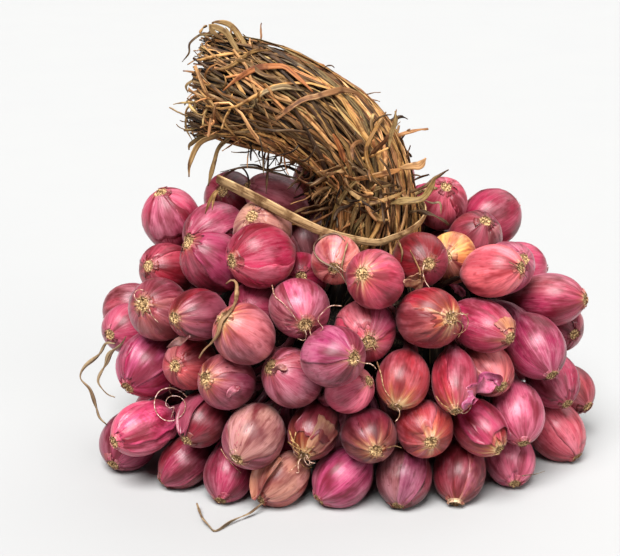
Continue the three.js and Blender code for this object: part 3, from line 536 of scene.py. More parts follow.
def bulb_form(b, end, number):
    """A bulb's middle line, radius and directions, finely from the root plate to the end of the neck, with
    the lobes that make it a little uneven."""
    root, middle = np.array(b.root), np.array(b.at)
    body = int(FINE * BODY_END)
    outline = curve_through(OUTLINE, np.linspace(0, 1, body))
    centre = middle + outline[:, :1] * b.half * root
    start = centre[-1]
    f = np.linspace(0, 1, FINE - body + 1)[1:, None]
    length = np.linalg.norm(end - start)
    bend = start - root * length * 0.4
    neck = (1 - f) ** 2 * start + 2 * f * (1 - f) * bend + f**2 * end
    spare = outline[-1, 1] * b.radius - NECK_END_RADIUS
    neck_radius = NECK_END_RADIUS + spare * (1 - f[:, 0]) ** NECK_TAPER
    centre = np.vstack([centre, neck])
    radius = np.concatenate([outline[:, 1] * b.radius, neck_radius])
    neck_way = unit(np.gradient(np.vstack([start, neck]), axis=0))[1:]
    tangent = np.vstack([np.repeat(-root[None], body, axis=0), neck_way])
    helper = UP if abs(root[2]) < 0.9 else np.array([1.0, 0, 0])
    u = unit(helper - tangent * (tangent @ helper)[:, None])
    v = np.cross(tangent, u)
    run = np.concatenate([(middle - centre[:body]) @ root, [0] * (FINE - body)])
    run[body:] = run[body - 1] + length * f[:, 0]
    slope = unit(np.stack([np.gradient(run), np.gradient(radius)], axis=-1))
    draw = np.random.default_rng(SEED + SHAPE_STEP * number)
    lobes = [(waves, draw.uniform(*size), draw.uniform(0, TURN), twist) for waves, size, twist in LOBES]
    lobes += [(waves, size, draw.uniform(0, TURN), twist) for waves, size, twist in RIBS]
    return {"centre": centre, "radius": radius, "u": u, "v": v, "axis": -tangent, "slope": slope, "run": run,
            "lobes": lobes, "number": number, "bulb": b, "draw": draw}


def on_bulb(form, angle, s, lift=0.0):
    """The point of a bulb's skin at an angle round it and a share s of the way from root to neck end: the
    middle line's point, plus the radius times 1 and the sum of the lobes' cosines, plus the lift outwards.
    What would be below the surface that the bunch stands on is pressed flat on it."""
    angle, s = np.broadcast_arrays(np.asarray(angle, float), np.asarray(s, float))
    steps = np.linspace(0, 1, FINE)

    def value(key):
        """A row of the form at each share."""
        rows = form[key]
        return np.stack([np.interp(s, steps, rows[:, k]) for k in range(rows.shape[1])], axis=-1)

    radial = value("u") * np.cos(angle)[..., None] + value("v") * np.sin(angle)[..., None]
    radius = np.interp(s, steps, form["radius"])
    body = eased(PLATE_END, 0.4, s) * (1 - eased(BODY_END - 0.12, BODY_END + 0.05, s))
    uneven = sum(size * np.cos(n * angle + start + twist * s) for n, size, start, twist in form["lobes"])
    slope = value("slope")
    out = radial * slope[..., :1] + value("axis") * slope[..., 1:]
    radius = radius * (1 + body * uneven)
    points = value("centre") + radial * radius[..., None] + out * np.asarray(lift)[..., None]
    points[..., 2] = np.maximum(points[..., 2], SURFACE)
    return points


def bulb_grain(form, angle, s):
    """Where a point lies in the skin's grain, in mm: across the fibres round the bulb, and along them."""
    radius = form["bulb"].radius
    run = np.interp(s, np.linspace(0, 1, FINE), form["run"])
    angle, run = np.broadcast_arrays(angle, run)
    place = run + GRAIN_APART * form["number"]
    return np.stack([radius * np.cos(angle), radius * np.sin(angle), place], axis=-1)


def soft_pattern(draw, around, along, terms=5):
    """A smooth pattern over a bulb from about -1 to 1: cosines with whole numbers of waves round it."""
    waves = draw.integers(0, around + 1, terms)
    steep = draw.uniform(-along, along, terms)
    rows = list(zip(waves, steep, draw.uniform(0, TURN, terms)))
    return lambda angle, s: sum(np.cos(m * angle + k * s + p) for m, k, p in rows) / terms**0.5


# The last colour here, near black, is painted shade for the neck ends that turn into the bunch.
CREAM, GOLD, RUST, PAINTED_NECK_SHADE = colour("d2b482"), colour("bd8242"), colour("a84a2c"), colour("2c0410")
BUFF, PINK_LIGHT = colour("94644e"), colour("cc7888")


def skin_tone(form, angle, s):
    """The skin's colour: its own tone, lighter and deeper in soft patches, golden in streaks round the root,
    brown where the skin is dull, and deeper towards the neck, where a near-black painted shade stands for the
    shade inside the bunch. The fourth number is the bulb's share of pale pink, which sets how much of the
    stripes and fibres shows."""
    tone, gold, pale, dull = form["bulb"].look[:4]
    draw = np.random.default_rng(SEED + TONE_STEP * form["number"] + 5)
    soft, broad, streaks = soft_pattern(draw, 3, 5), soft_pattern(draw, 4, 4), soft_pattern(draw, 17, 1.5, 7)
    base = colour(tone)
    rows = np.broadcast_to(base, angle.shape + (3,))
    rows = mixed(rows, PINK_LIGHT, (0.02 + 0.36 * pale) * eased(0.2, 1.5, soft(angle, s)))
    rows = mixed(rows, base * [0.42, 0.16, 0.3], 0.8 * eased(0.0, 1.3, broad(angle, s)))
    rows = mixed(rows, BUFF, 0.75 * dull * eased(-0.3, 1.2, broad(angle + 2, s)) * eased(0.2, 0.5, s))
    reach = 0.19 + 0.09 * gold + 0.05 * streaks(angle, s) * (0.3 + gold)
    rows = mixed(rows, RUST, 0.5 * gold**1.6 * (1 - eased(reach, reach + 0.22, s)))
    rows = mixed(rows, GOLD, 0.75 * gold * (1 - eased(reach - 0.08, reach + 0.08, s)))
    rows = mixed(rows, CREAM, (0.4 + 0.4 * gold) * (1 - eased(reach - 0.1, reach, s)))
    # Painted shade: the skin turns near black towards the neck end, inside the bunch.
    rows = mixed(rows, PAINTED_NECK_SHADE, 0.6 * eased(0.6, 0.95, s))
    return np.concatenate([rows, np.full(angle.shape + (1,), pale)], axis=-1)


PLATE_RINGS, PLATE_FINISH = 6, 1
KNOB_HEIGHT = 0.28


def bulb_shape(form, around, along):
    """The whole skin of a bulb on a grid of angles and shares, with a point at the root and at the neck."""
    s = np.concatenate([np.linspace(0.015, PLATE_END, PLATE_RINGS), np.linspace(PLATE_END, 1, along)[1:]])
    angle = 2 * math.pi * np.arange(around) / around
    s, angle = (a.T for a in np.meshgrid(s, angle))
    knobs = soft_pattern(form["draw"], 13, 60, 9)
    lift = KNOB_HEIGHT * knobs(angle, s) * (1 - eased(PLATE_END * 0.75, PLATE_END, s))
    points = on_bulb(form, angle, s, lift)
    tips = np.stack([on_bulb(form, 0.0, 0.0), on_bulb(form, 0.0, 1.0)])
    every_angle, every_s = np.concatenate([angle.ravel(), [0, 0]]), np.concatenate([s.ravel(), [0, 1]])
    rings = len(s)
    triangles = ring_triangles(rings, around)
    finish = np.zeros(len(triangles), int)
    walls = 2 * around * (rings - 1)
    finish[: 2 * around * (PLATE_RINGS - 2)] = PLATE_FINISH
    finish[walls : walls + around] = PLATE_FINISH
    return Shape(np.vstack([points.reshape(-1, 3), tips]), triangles, skin_tone(form, every_angle, every_s),
                 bulb_grain(form, every_angle, every_s), finish)


def skin_patch(form, middle, half_angle, start, end, lift, curl, tone, share, draw, grid_size=PATCH_GRID,
               neck_curl=0.0):
    """A loose piece of outer skin: the bulb's surface between two shares and two angles, all four with a torn
    edge, lifted a little, and curled up by the curls at its root edge and sides and at its neck edge. Its
    colour is the bulb's own with a share of another tone in it."""
    u, v = np.meshgrid(np.linspace(-1, 1, grid_size[0]), np.linspace(0, 1, grid_size[1]))
    torn, torn_side = soft_pattern(draw, 7, 3, 6), soft_pattern(draw, 4, 9, 5)
    angle = middle + half_angle * u * (1 + 0.1 * torn_side(0 * v, v * 2.5))
    root_edge, neck_edge = torn(u * 2.2, 0 * v) * (1 - v), torn(u * 1.8 + 3, 0 * v) * v
    s = start + (end - start) * v + TORN_SHARE * (end - start) * (root_edge + neck_edge)
    s = np.clip(s, PLATE_END * 0.8, 0.97)
    edge = np.maximum(np.abs(u) ** 10, (1 - v) ** 8)
    grid = on_bulb(form, angle, s, lift + curl * edge + neck_curl * v**3 * (1 + 0.3 * torn(u * 2, 0 * v)))
    points, triangles = thin_sheet(grid, SKIN_THICKNESS)
    grain = bulb_grain(form, angle, s).reshape(-1, 3) + [0, 0, GRAIN_APART_ON_PATCH]
    rows = skin_tone(form, angle, s)
    rows[..., :3] = mixed(rows[..., :3], tone, share + 0 * s)
    rows = rows.reshape(-1, 4)
    return Shape(points, triangles, np.vstack([rows, rows]), np.vstack([grain, grain]))


def sight_runs(bulbs, pixels):
    """How far along the lines of sight of pixels their first points on bulbs are, in mm, or infinity, as an
    array (pixel, bulb). A bulb is taken as an egg: with lengths divided by its half-length along the root and
    by its radius across it, the line meets a ball."""
    rays = np.array([unit(at_pixel(x, y, 0.0) - EYE) for x, y in pixels])[:, None]
    root = np.array([b.root for b in bulbs])
    radius, half = np.array([b.radius for b in bulbs])[:, None], np.array([b.half for b in bulbs])[:, None]

    def squeezed(v):
        """A vector for each bulb in the space where that bulb is a ball of radius 1."""
        along = (v * root).sum(-1, keepdims=True) * root
        return (v - along) / radius + along / half

    o, d = squeezed(EYE - np.array([b.at for b in bulbs]))[None], squeezed(rays)
    od, dd = (o * d).sum(-1), (d * d).sum(-1)
    inner = od**2 - dd * ((o * o).sum(-1) - 1)
    return np.where(inner > 0, (-od - np.sqrt(np.maximum(inner, 0))) / dd, np.inf)


NO_BULB, STEEPEST = 1e6, 1.1


def draped(pixels, lift, count):
    """A line that follows pixels over the bulbs, a lift in front of them. Over a gap it keeps to the nearest
    bulbs: its run along the line of sight is the least of each place's own run plus a little more than the
    way to it."""
    flat = even_curve([(x, y, 0) for x, y in pixels], count)[:, :2]
    runs = sight_runs(packed, flat).min(axis=1)
    way = np.linalg.norm(flat[:, None] - flat[None], axis=-1) / 2
    run = (np.where(np.isinf(runs), NO_BULB, runs)[None] + STEEPEST * way).min(axis=1) - lift
    smooth = np.convolve(np.pad(run, 2, mode="edge"), [0.1, 0.2, 0.4, 0.2, 0.1], mode="valid")
    rays = np.array([unit(at_pixel(x, y, 0.0) - EYE) for x, y in flat])
    return EYE + rays * np.minimum(run + 0.3, smooth)[:, None]


def place_on(form, px, py):
    """The angle round a bulb and the share of its length that a pixel shows."""
    b = form["bulb"]
    rel = EYE + sight_runs([b], [(px, py)])[0, 0] * unit(at_pixel(px, py, 0.0) - EYE) - np.array(b.at)
    body = int(FINE * BODY_END)
    along = (form["centre"][:body] - np.array(b.at)) @ np.array(b.root)
    k = int(np.argmin(np.abs(along - rel @ np.array(b.root)) + (np.arange(body) < FINE * PLATE_END) * 9))
    return math.atan2(rel @ form["v"][k], rel @ form["u"][k]), k / (FINE - 1)


def root_stubs(form, draw, count):
    """Dry root stubs: some lie on the skin and run out from the plate like rays, some stand out of it."""
    length = form["bulb"].look[4]
    steps = np.linspace(0, 1, 4)
    angle = np.sort(draw.uniform(0, 2 * math.pi, count))[:, None]
    angle = angle + draw.uniform(-0.25, 0.25, (count, 1)) * steps
    lying = draw.uniform(size=(count, 1)) < 0.6
    reach = draw.uniform(0.4, 1.3, (count, 1)) * length * 0.0125
    start = draw.uniform(0.05, PLATE_END, (count, 1))
    s = np.where(lying, PLATE_END * 0.8 + reach * steps * 2, start + reach * steps * 0.6)
    lift = np.where(lying, 0.15 + 0.35 * steps, -0.3 + draw.uniform(0.5, 1.3, (count, 1)) * length * steps)
    paths = on_bulb(form, angle, s, lift)
    radius = draw.uniform(0.13, 0.28, (count, 1)) * (1 - 0.5 * steps)
    share = draw.uniform(size=count)
    tone = np.column_stack([mixed(colour("5c4020"), colour("d0b080"), share), np.ones(count)])
    return threads(paths, radius, tone, draw.uniform(0, ROOT_GRAIN_RANGE, count))


def root_threads(form, draw, count):
    """Long thin root threads that leave the plate, curl and hang in front of the bulbs."""
    steps = 14
    paths = np.zeros((count, steps, 3))
    towards = unit(np.array(form["bulb"].root) + [0, -0.6, 0])
    paths[:, 0] = on_bulb(form, draw.uniform(0, TURN, count), np.full(count, 0.08))
    heading = unit(towards + draw.normal(0, 0.7, (count, 3)))
    spin = unit(draw.normal(0, 1, (count, 3)))
    length = draw.uniform(7, 20, count)[:, None]
    turn = draw.uniform(0.1, 0.32, count)[:, None]
    for k in range(1, steps):
        paths[:, k] = paths[:, k - 1] + heading * length / steps
        heading = heading + turn * np.cross(spin, heading) + [0, 0, -0.06]
        heading = unit(heading + draw.normal(0, 0.08, (count, 3)))
    tone = np.tile(np.append(colour("dcb8a4"), 1), (count, 1))
    return threads(paths, 0.2, tone, draw.uniform(0, ROOT_GRAIN_RANGE, count))


# The leaf bundle
BUNDLE_LINE = [
    (3, 0, 80), (10, 0, 98), (13.5, 0, 114), (12.7, 0, 135), (8.5, 0, 152), (-1, 0, 164.5), (-14, 0, 174.5),
    (-29.5, 0, 182), (-47.5, 0, 187.5), (-69, 0, 191.5)]
BUNDLE_HALF = [22.5, 22.5, 20.5, 22, 23.5, 23.5]
BUNDLE_HALF_DEEP = [21, 21, 20, 21.5, 22, 22.5]
BUNDLE_TWIST = 1.3  # radians from its foot to its end
BUNDLE_SEEN_HALF, BUNDLE_SEEN_DEEP = 23, 22  # its half width and half depth, taken as the same all along
RAGGED = 9  # how uneven its leaves' ends are, in mm
LEAF_LAPS = 7  # times round the bundle that one call's leaves go, in their order
LEAF_THICKNESS = 0.4
GRAIN_RANGE = 900  # a leaf's place in the grain is drawn up to this, in mm
bundle_line = even_curve(BUNDLE_LINE, 201)
BUNDLE_LENGTH = np.linalg.norm(np.diff(bundle_line, axis=0), axis=1).sum()


def in_bundle(t, angle, share):
    """A point in the bundle: t along its middle line, straight on beyond its end, an angle round it and a
    share of its thickness, which changes evenly between the values given for it."""
    t, angle, share = np.broadcast_arrays(t, angle, share)
    inside = np.clip(t, 0, 1)
    steps = np.linspace(0, 1, len(bundle_line))
    tangents = unit(np.gradient(bundle_line, axis=0))
    p = np.stack([np.interp(inside, steps, bundle_line[:, k]) for k in range(3)], axis=-1)
    tangent = unit(np.stack([np.interp(inside, steps, tangents[:, k]) for k in range(3)], axis=-1))
    across = np.array([0.0, 1.0, 0.0])
    outward = unit(np.cross(across, tangent))
    half = np.interp(inside, np.linspace(0, 1, 6), BUNDLE_HALF)
    deep = np.interp(inside, np.linspace(0, 1, 6), BUNDLE_HALF_DEEP)
    p = p + tangent * (np.maximum(0, t - 1) * BUNDLE_LENGTH)[..., None]
    p = p + outward * (np.cos(angle) * half * share)[..., None]
    return p + across * (np.sin(angle) * deep * share)[..., None]


def on_bundle(px, py, lift=1.5):
    """The point that a pixel shows on the front of the bundle, a lift in front of it."""
    flat = at_pixel(px, py, 0.0)
    off = bundle_line - flat
    off[:, 1] = 0
    aside = np.linalg.norm(off, axis=1).min() / BUNDLE_SEEN_HALF
    return at_pixel(px, py, -BUNDLE_SEEN_DEEP * math.sqrt(max(0, 1 - aside**2)) - lift)


LEAF_TONES = [
    "6e4828", "624528", "815733", "533920", "784f27", "442f1a", "8c653f", "664021", "7d5f39", "392617"]
PALE_LEAF_TONES = ["b58553", "a87d47", "c69563", "9e7542", "b57b4b", "9e8353"]
# Near-black leaf colours: painted shade for leaves inside the bundle and the bunch; mixed with the dried ones
# for leaves that lie partly in shade.
PAINTED_SHADE_LEAF_TONES = ["1e1008", "27170b", "301c0f", "160b06"]
MIXED_LEAF_TONES, LEAF_AND_PAINTED_SHADE_TONES = LEAF_TONES + PALE_LEAF_TONES, PAINTED_SHADE_LEAF_TONES + LEAF_TONES


def leaf_tones(draw, count, names=LEAF_TONES):
    """A colour for each leaf, drawn from the dried ones, a little lighter or darker."""
    rows = np.array([colour(n) for n in names])[draw.integers(0, len(names), count)]
    return np.column_stack([rows * draw.uniform(0.4, 1.6, (count, 1)), np.ones(count)])


def wander(draw, count, t, size, waves):
    """A slow drift for each leaf along its length: two sines with drawn starts."""
    start = draw.uniform(0, TURN, (count, 2, 1))
    fast = draw.uniform(0.5, 1, (count, 2, 1)) * waves
    slow_wave = np.sin(start[:, 0] + fast[:, 0] * t * TURN)
    quick_wave = np.sin(start[:, 1] + 2 * fast[:, 1] * t * TURN)
    return size * (slow_wave + 0.5 * quick_wave)


def bundle_leaves(draw, count, shares, widths, drift, heave, tones=LEAF_TONES, steps=20, starts=(0.1, 0.3)):
    """Long leaves that follow the bundle, each from its own start to its own ragged end. They wander round it
    by the drift in radians and in and out of it by the heave, a share of its thickness, and twist."""
    along = np.linspace(0, 1, steps)
    start = draw.uniform(*starts, (count, 1))
    end = 1 + draw.uniform(-1.5, 0.6, (count, 1)) * RAGGED / BUNDLE_LENGTH
    t = start + (end - start) * along
    place = np.arange(count)[:, None] + draw.uniform(0, 1, (count, 1))
    angle = 2 * math.pi * place / count * LEAF_LAPS + BUNDLE_TWIST * t
    loose = 0.6 + 1.2 * eased(0.55, 1, t)
    angle = angle + wander(draw, count, along, drift, 0.7) * loose
    angle = angle + wander(draw, count, along, 0.12 * drift, 4)
    share = draw.uniform(*shares, (count, 1)) * (1 + wander(draw, count, along, heave, 1.2) * loose)
    share = share + wander(draw, count, along, 0.012, 5) * loose
    paths = in_bundle(t, angle, share)
    facing = paths - in_bundle(t, angle, 0 * t)
    taper = 0.35 + 0.65 * np.sin(math.pi * np.clip(along * 0.85 + 0.1, 0, 1)) ** 0.6
    width = draw.uniform(*widths, (count, 1)) * taper
    fold = draw.uniform(-0.5, 0.7, (count, 1))
    roll = wander(draw, count, along, 0.6, 2.0)
    tone = leaf_tones(draw, count, tones)
    return blades(paths, facing, width, LEAF_THICKNESS, fold, roll, tone, draw.uniform(0, GRAIN_RANGE, count))


def drawn_leaf(points, width, tone, draw, steps=22, facing=(0, -1, 0.2), thickness=LEAF_THICKNESS,
               taper=(0.3, 0.25), roll=0.4, fold=-0.3, pinches=0):
    """One leaf along a smooth curve through points, narrower at its ends by the two shares of the taper, and
    between them, where a sine with as many half waves as pinches is 0. Its edges stand up where fold is less
    than 0."""
    path = even_curve(points, steps)[None]
    along = np.linspace(0, 1, steps)
    shape = taper[0] + (1 - taper[0]) * eased(0, 0.25, along)
    shape = shape * (taper[1] + (1 - taper[1]) * (1 - eased(0.75, 1, along)))
    shape = shape * (1 + 0.12 * np.sin(9 * along + draw.uniform(0, 6)))
    shape = shape * (1 if pinches == 0 else 0.35 + 0.65 * np.abs(np.sin(pinches * math.pi * along + 0.6)))
    facing = np.broadcast_to(np.array(facing, float), path.shape)
    rolls = roll * np.sin(draw.uniform(3, 7) * along + draw.uniform(0, 6))
    return blades(path, facing, width * shape[None], thickness, np.array([[fold]]), rolls[None],
                  np.append(colour(tone), 1)[None], draw.uniform(0, GRAIN_RANGE, 1), 5, 0.06)


def short_leaves(draw, count, t_range, angle_range, spread, length, width, curl, tones=LEAF_TONES, lead=0.0):
    """Short leaves that leave the bundle's side at drawn places and end free in the air, each along a
    heading that leans out of it, follows it by the lead, turns steadily and wavers."""
    steps = 12
    t = draw.uniform(*t_range, count)
    angle = draw.uniform(*angle_range, count)
    paths = np.zeros((count, steps, 3))
    paths[:, 0] = in_bundle(t, angle, 0.85)
    out = unit(in_bundle(t, angle, 1.0) - in_bundle(t, angle, 0.0))
    follow = unit(in_bundle(t + 0.01, angle, 0.9) - in_bundle(t - 0.01, angle, 0.9))
    heading = unit(0.35 * out + lead * follow + draw.normal(0, spread, (count, 3)))
    spin = unit(draw.normal(0, 1, (count, 3)))
    size = draw.uniform(*length, count)[:, None]
    turn = draw.uniform(-1, 1, count)[:, None] * curl
    for k in range(1, steps):
        paths[:, k] = paths[:, k - 1] + heading * size / steps
        heading = unit(heading + turn * np.cross(spin, heading) + draw.normal(0, 0.1, (count, 3)))
    facing = np.broadcast_to(out[:, None], paths.shape)
    along = np.linspace(0, 1, steps)
    taper = 0.3 + 0.7 * np.sin(math.pi * np.clip(0.1 + 0.85 * along, 0, 1)) ** 0.7
    width = draw.uniform(*width, (count, 1)) * taper
    fold = draw.uniform(-0.4, 0.8, (count, 1))
    roll = wander(draw, count, along, 0.5, 1.5)
    tone = leaf_tones(draw, count, tones)
    return blades(paths, facing, width, LEAF_THICKNESS, fold, roll, tone, draw.uniform(0, GRAIN_RANGE, count))


CORE_RINGS, CORE_SIDES, CORE_END, CORE_LENGTH = 30, 72, 0.985, 170
HEART_RINGS, HEART_SIDES = 24, 64


def bundle_core():
    """The inside of the bundle, near black as painted shade: a tube a little inside its leaves, with a ridge
    for every two sides, and its cut end."""
    t = np.concatenate([np.linspace(0, CORE_END, CORE_RINGS), [CORE_END]])
    ring = np.arange(CORE_SIDES) * 2 * math.pi / CORE_SIDES
    share = 0.84 + 0.05 * np.cos(CORE_SIDES / 2 * ring)[None] + 0.02 * np.cos(7 * ring + 9 * t[:, None])
    share[-1] *= 0.6
    points = in_bundle(t[:, None], ring[None] + BUNDLE_TWIST * t[:, None], share)
    ends = in_bundle(np.array([0.0, CORE_END]), np.zeros(2), np.zeros(2))
    # Near black: painted shade inside the bundle.
    tone = np.append(colour("100a06"), 1)
    along = np.repeat(t[:, None] * CORE_LENGTH, CORE_SIDES, axis=1)
    grain = np.stack([np.tile(ring * 20, (len(t), 1)), along, 0 * share], axis=-1)
    grain = np.vstack([grain.reshape(-1, 3), [[0, 0, 0], [0, CORE_LENGTH, 0]]])
    return Shape(np.vstack([points.reshape(-1, 3), ends]), ring_triangles(len(t), CORE_SIDES), tone, grain)


def heart_shape():
    """The heart where the necks meet: an egg with shallow ridges that run from end to end. Its near-black
    colour is painted shade.
    """
    rise = np.linspace(0.03, math.pi - 0.03, HEART_RINGS)[:, None]
    ring = np.arange(HEART_SIDES)[None] * 2 * math.pi / HEART_SIDES
    size = 1 + 0.03 * np.cos(16 * ring + 3 * rise) * np.sin(rise)
    points = np.stack([
        HEART[0] * size * np.cos(rise) + 0 * ring, HEART[1] * size * np.sin(rise) * np.cos(ring),
        HEART[2] * size * np.sin(rise) * np.sin(ring)], axis=-1)
    ends = np.array([[HEART[0], 0, 0], [-HEART[0], 0, 0]])
    points = np.vstack([points.reshape(-1, 3), ends]) + [0, 0, HEART_HEIGHT]
    # Near black: painted shade inside the bunch.
    return Shape(points, ring_triangles(HEART_RINGS, HEART_SIDES), np.append(colour("20120c"), 1), points)


# Materials
def add(tree, kind, inputs=None, **settings):
    """Adds a shader node with its settings. An input gets a value, an output, or a node's first output in
    use."""
    made = tree.nodes.new("ShaderNode" + kind)
    for name, value in settings.items():
        setattr(made, name, value)
    for name, value in (inputs or {}).items():
        if isinstance(value, bpy.types.Node):
            value = next(out for out in value.outputs if out.enabled)
        if isinstance(value, bpy.types.NodeSocket):
            tree.links.new(value, made.inputs[name])
        else:
            made.inputs[name].default_value = value
    return made


def new_material(name):
    """An empty material and its nodes."""
    material = bpy.data.materials.new(name)
    material.use_nodes = True
    material.node_tree.nodes.clear()
    return material, material.node_tree


def rgba(text):
    """An sRGB hex value as a colour that a socket takes."""
    return (*colour(text), 1.0)


FACTOR, FIRST, SECOND = 0, 6, 7  # the sockets of a Mix node that mixes colours
MIX = {"data_type": "RGBA"}
SHADE = {"data_type": "RGBA", "blend_type": "MULTIPLY"}
SOFT = {"interpolation_type": "SMOOTHSTEP"}  # Map Range: 0 value, 1 and 2 its range, 3 and 4 the new one
TIMES = {"operation": "MULTIPLY"}


def shallot_skin():
    """Papery outer skin of a red shallot: thin and satin, with a soft bloom. Fine fibres run from root to
    neck: pale pink stripes about 1.3 mm apart, fibres 0.5 mm apart and a few thin pale veins. Between them it
    is deep crimson, with papery patches and darker blotches 9 mm across and mottles 2 mm across."""
    material, tree = new_material("papery_shallot_skin")
    tone = add(tree, "Attribute", attribute_name="tone")
    place = add(tree, "Attribute", attribute_name="grain").outputs["Vector"]
    along = add(tree, "Mapping", {"Vector": place, "Scale": (1, 1, 0.05)})
    broad = add(tree, "Mapping", {"Vector": place, "Scale": (1, 1, 0.4)})
    fibres = add(tree, "TexNoise", {"Vector": along, "Scale": 2.0, "Detail": 3.0, "Roughness": 0.65})
    stripes = add(tree, "TexNoise", {"Vector": along, "Scale": 0.75, "Detail": 4.0, "Roughness": 0.65})
    blotches = add(tree, "TexNoise", {"Vector": broad, "Scale": 0.11, "Detail": 3.0, "Roughness": 0.6})
    mottles = add(tree, "TexNoise", {"Vector": broad, "Scale": 0.5, "Detail": 2.0, "Roughness": 0.5})
    aside = add(tree, "Mapping", {"Vector": place, "Location": (31, 7, 50), "Scale": (1, 1, 0.55)})
    papery = add(tree, "TexNoise", {"Vector": aside, "Scale": 0.1, "Detail": 5.0, "Roughness": 0.65})

    pale = add(tree, "Mix", {FACTOR: 0.35, FIRST: tone, SECOND: rgba("e8acb4")}, **MIX)
    light = add(tree, "MapRange", {0: stripes, 1: 0.46, 2: 0.74, 4: 0.45}, **SOFT)
    light = add(tree, "Math", {0: light, 1: tone.outputs["Alpha"]}, **TIMES)
    skin = add(tree, "Mix", {FACTOR: light, FIRST: tone, SECOND: pale}, **MIX)
    # A bulb's own share of light streaks sets how much of the fine fibres, veins and bloom it shows too.
    share = add(tree, "MapRange", {0: tone.outputs["Alpha"], 1: 0.05, 2: 0.6, 3: 0.15, 4: 1.1})
    fine = add(tree, "MapRange", {0: fibres, 1: 0.5, 2: 0.72, 4: 0.35}, **SOFT)
    fine = add(tree, "Math", {0: fine, 1: share}, **TIMES)
    skin = add(tree, "Mix", {FACTOR: fine, FIRST: skin, SECOND: pale}, **MIX)
    off_vein = add(tree, "Math", {0: stripes, 1: 0.56}, operation="SUBTRACT")
    off_vein = add(tree, "Math", {0: off_vein}, operation="ABSOLUTE")
    vein = add(tree, "MapRange", {0: off_vein, 1: 0.0, 2: 0.014, 3: 0.45, 4: 0.0}, **SOFT)
    vein = add(tree, "Math", {0: vein, 1: share}, **TIMES)
    skin = add(tree, "Mix", {FACTOR: vein, FIRST: skin, SECOND: pale}, **MIX)

    bloom = add(tree, "Mix", {FACTOR: 0.5, FIRST: tone, SECOND: rgba("dc9cac")}, **MIX)
    dry = add(tree, "MapRange", {0: papery, 1: 0.46, 2: 0.66, 4: 0.55}, **SOFT)
    dry = add(tree, "Math", {0: dry, 1: share}, **TIMES)
    skin = add(tree, "Mix", {FACTOR: dry, FIRST: skin, SECOND: bloom}, **MIX)

    deep = add(tree, "Mix", {FACTOR: 1.0, FIRST: skin, SECOND: rgba("8c2440")}, **SHADE)
    patch = add(tree, "MapRange", {0: blotches, 1: 0.42, 2: 0.66, 4: 0.85}, **SOFT)
    skin = add(tree, "Mix", {FACTOR: patch, FIRST: skin, SECOND: deep}, **MIX)
    spots = add(tree, "MapRange", {0: mottles, 1: 0.54, 2: 0.7, 4: 0.45}, **SOFT)
    skin = add(tree, "Mix", {FACTOR: spots, FIRST: skin, SECOND: deep}, **MIX)
    between = add(tree, "MapRange", {0: fibres, 1: 0.3, 2: 0.5, 3: 0.35, 4: 0.0}, **SOFT)
    skin = add(tree, "Mix", {FACTOR: between, FIRST: skin, SECOND: deep}, **MIX)

    rough = add(tree, "MapRange", {0: blotches, 1: 0.3, 2: 0.7, 3: 0.3, 4: 0.44}, **SOFT)
    dents = add(tree, "TexNoise", {"Vector": broad, "Scale": 0.14, "Detail": 2.0})
    relief = add(tree, "Math", {0: dents, 1: 5.0, 2: stripes}, operation="MULTIPLY_ADD")
    relief = add(tree, "Math", {0: relief, 1: fibres}, operation="ADD")
    bump = add(tree, "Bump", {"Strength": 0.45, "Distance": 0.0003, "Height": relief})
    surface = add(tree, "BsdfPrincipled", {
        "Base Color": skin, "Roughness": rough, "IOR": 1.45, "Specular IOR Level": 0.3,
        "Coat Weight": 0.22, "Coat Roughness": 0.32,
        "Sheen Weight": 0.1, "Sheen Roughness": 0.4, "Sheen Tint": rgba("f4c8cc"), "Normal": bump})
    add(tree, "OutputMaterial", {"Surface": surface})
    return material


def root_plate():
    """Dried root plate: corky, matt, buff with dark pits where roots broke off, about 0.6 mm apart."""
    material, tree = new_material("dried_root_plate")
    place = add(tree, "TexCoord").outputs["Object"]
    pits = add(tree, "TexNoise", {"Vector": place, "Scale": 1100.0, "Detail": 2.0})
    shade = add(tree, "MapRange", {0: pits, 1: 0.42, 2: 0.62}, **SOFT)
    tan = add(tree, "Mix", {FACTOR: shade, FIRST: rgba("684a2a"), SECOND: rgba("cca878")}, **MIX)
    bump = add(tree, "Bump", {"Strength": 0.7, "Distance": 0.0005, "Height": pits})
    surface = add(tree, "BsdfPrincipled", {
        "Base Color": tan, "Roughness": 0.85, "IOR": 1.45, "Normal": bump})
    add(tree, "OutputMaterial", {"Surface": surface})
    return material


def dried_root():
    """Dried root: thin, matt and brittle, tan to dark brown, from the colour of each thread."""
    material, tree = new_material("dried_root")
    tone = add(tree, "Attribute", attribute_name="tone")
    place = add(tree, "TexCoord").outputs["Object"]
    uneven = add(tree, "TexNoise", {"Vector": place, "Scale": 700.0, "Detail": 1.0})
    share = add(tree, "MapRange", {0: uneven, 1: 0.4, 2: 0.65}, **SOFT)
    dark = add(tree, "Mix", {FACTOR: 1.0, FIRST: tone, SECOND: rgba("a08a70")}, **SHADE)
    shade = add(tree, "Mix", {FACTOR: share, FIRST: dark, SECOND: tone}, **MIX)
    surface = add(tree, "BsdfPrincipled", {"Base Color": shade, "Roughness": 0.8, "IOR": 1.45})
    add(tree, "OutputMaterial", {"Surface": surface})
    return material


